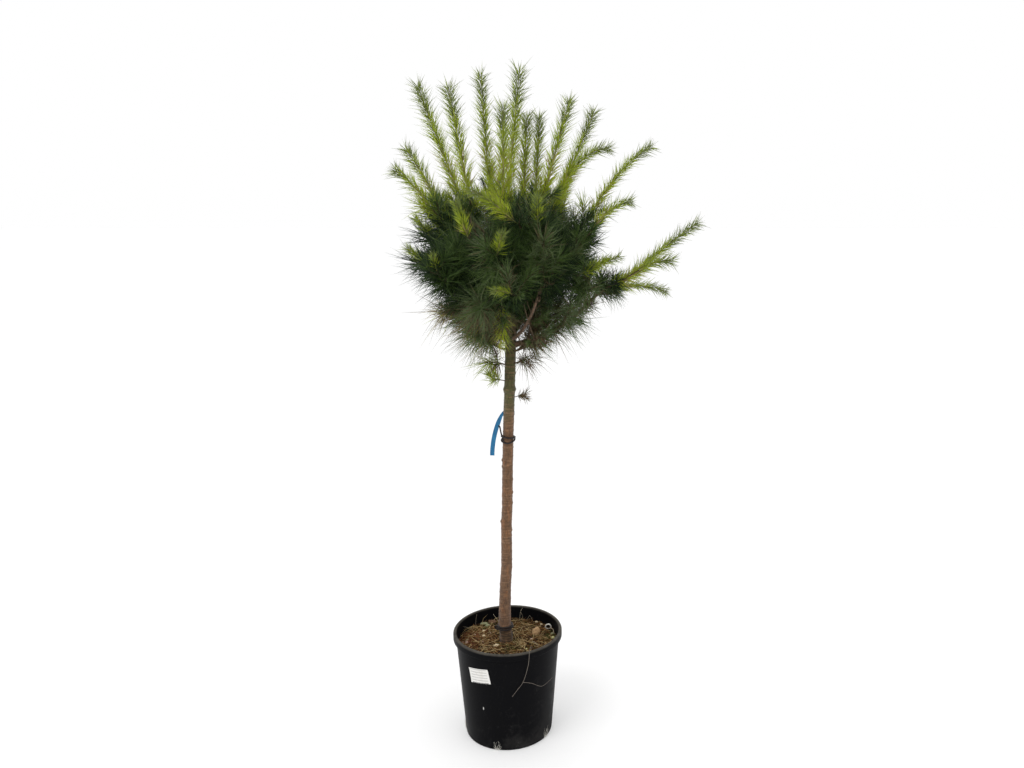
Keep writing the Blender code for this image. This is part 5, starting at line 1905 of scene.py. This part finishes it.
class STONEPINE_OT_sticker(bpy.types.Operator):
    """Lays the blank paper sticker on the pot's wall"""

    bl_idname = "stonepine.sticker"
    bl_label = "Sticker"

    def execute(self, context):
        columns, rows = STICKER_CELLS
        bm = bmesh.new()
        sheet = bm.loops.layers.uv.new("sheet")
        places, sheets = {}, []
        for depth in (2 * GAP, 2 * GAP + STICKER_THICKNESS):
            grid = []
            for j, i in itertools.product(range(rows + 1), range(columns + 1)):
                u = STICKER_WIDTH * (i / columns - 0.5)
                v = STICKER_HEIGHT * (j / rows - 0.5)
                across = u * math.cos(STICKER_TILT) - v * math.sin(STICKER_TILT)
                height = STICKER_CENTRE + u * math.sin(STICKER_TILT) + v * math.cos(STICKER_TILT)
                corner = max(0, abs(i / columns - 0.5) + abs(j / rows - 0.5) - STICKER_CORNER)
                wave = noise.noise(Vector((u * 200, v * 200, 1)))
                lift = STICKER_CORNER_LIFT * corner + STICKER_WAVE * wave
                radius = wall_radius(height) + depth + lift
                angle = STICKER_DIRECTION + across / radius
                grid.append(bm.verts.new((radius * math.cos(angle), radius * math.sin(angle), height)))
                places[grid[-1]] = (i / columns, j / rows)
            sheets.append(grid)
        width = columns + 1
        for grid, j, i in itertools.product(sheets, range(rows), range(columns)):
            k = j * width + i
            bm.faces.new((grid[k], grid[k + 1], grid[k + 1 + width], grid[k + width]))
        last = rows * width
        border = list(range(columns)) + [columns + j * width for j in range(rows)]
        border += [last + i for i in range(columns, 0, -1)] + [j * width for j in range(rows, 0, -1)]
        for a, b in zip(border, border[1:] + border[:1]):
            bm.faces.new((sheets[0][a], sheets[0][b], sheets[1][b], sheets[1][a]))
        for loop in [loop for face in bm.faces for loop in face.loops]:
            loop[sheet].uv = places[loop.vert]
        paper = mesh_object("paper_sticker", bm, ruled_paper())
        paper.data.set_sharp_from_angle(angle=math.radians(40))
        fit(paper, "sticker_paper", "sticker")
        return {"FINISHED"}


# Studio

CAMERA_PLACE = (0.2038, -2.2254, 1.4276)
CAMERA_SHIFT = -0.0664
CAMERA_DIP = math.radians(10.827)
CAMERA_LENS = 29.88
FLOOR_SIZE = 400


def add_lamp(name, place, target, size, power, tone=(1, 1, 1)):
    lamp = bpy.data.lights.new(name, "AREA")
    lamp.shape = "SQUARE"
    lamp.size = size
    lamp.energy = power
    lamp.color = tone
    obj = linked(name, lamp)
    obj.location = place
    obj.rotation_euler = (Vector(target) - Vector(place)).to_track_quat("-Z", "Y").to_euler()


class STONEPINE_OT_stage(bpy.types.Operator):
    """Sets up the pale floor, the soft light and the camera"""

    bl_idname = "stonepine.stage"
    bl_label = "Studio"

    def execute(self, context):
        settings = context.scene.stone_pine_stage
        bm = bmesh.new()
        bmesh.ops.create_grid(bm, x_segments=1, y_segments=1, size=FLOOR_SIZE / 2)
        paint = grained("floor_paint", tuple(settings.floor), 0.9, 3, 0.01)
        shader = paint.node_tree.nodes["Principled BSDF"]
        shader.inputs["Emission Color"].default_value = (1, 1, 1, 1)
        shader.inputs["Emission Strength"].default_value = settings.glow
        floor = mesh_object("studio_floor", bm, paint)
        world = bpy.data.worlds.new("studio")
        world.use_nodes = True
        background = world.node_tree.nodes["Background"]
        background.inputs["Color"].default_value = (1, 1, 1, 1)
        background.inputs["Strength"].default_value = settings.sky
        context.scene.world = world
        context.scene.view_settings.view_transform = "Standard"
        add_lamp("key_lamp", (-2.2, -2.6, 4.2), (0, 0, 1.0), 2.6, settings.key)
        add_lamp("fill_lamp", (3.0, -2.0, 2.4), (0, 0, 0.9), 2.4, settings.fill)
        camera = bpy.data.cameras.new("photo_camera")
        camera.sensor_width = 36
        camera.sensor_fit = "HORIZONTAL"
        camera.lens = CAMERA_LENS
        camera.shift_x = CAMERA_SHIFT
        seen_from = linked("photo_camera", camera)
        seen_from.location = CAMERA_PLACE
        seen_from.rotation_euler = (math.pi / 2 - CAMERA_DIP, 0, 0)
        context.scene.camera = seen_from
        return {"FINISHED"}


# The add-on's panel and registration

OPERATORS = (
    STONEPINE_OT_pot,
    STONEPINE_OT_soil,
    STONEPINE_OT_trunk,
    STONEPINE_OT_boughs,
    STONEPINE_OT_twigs,
    STONEPINE_OT_old_needles,
    STONEPINE_OT_new_needles,
    STONEPINE_OT_ties,
    STONEPINE_OT_ribbon,
    STONEPINE_OT_sticker,
    STONEPINE_OT_stage,
)
SETTINGS = {
    "stone_pine_pot": PotSettings,
    "stone_pine_soil": SoilSettings,
    "stone_pine_wood": WoodSettings,
    "stone_pine_needles": NeedleSettings,
    "stone_pine_stage": StageSettings,
}


class STONEPINE_PT_panel(bpy.types.Panel):
    """Lists the steps that build the plant"""

    bl_idname = "STONEPINE_PT_panel"
    bl_label = "Stone Pine"
    bl_space_type = "VIEW_3D"
    bl_region_type = "UI"
    bl_category = "Stone pine"

    def draw(self, context):
        for key, group in SETTINGS.items():
            box = self.layout.box()
            for name in group.__annotations__:
                box.prop(getattr(context.scene, key), name)
        for operator in OPERATORS:
            self.layout.operator(operator.bl_idname)


CLASSES = (*SETTINGS.values(), *OPERATORS, STONEPINE_PT_panel)


def register():
    for cls in CLASSES:
        bpy.utils.register_class(cls)
    for key, group in SETTINGS.items():
        setattr(bpy.types.Scene, key, bpy.props.PointerProperty(type=group))


def unregister():
    for key in SETTINGS:
        delattr(bpy.types.Scene, key)
    for cls in reversed(CLASSES):
        bpy.utils.unregister_class(cls)


def main():
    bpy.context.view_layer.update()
    register()
    for operator in OPERATORS:
        folder, name = operator.bl_idname.split(".")
        getattr(getattr(bpy.ops, folder), name)()


if __name__ == "__main__":
    main()
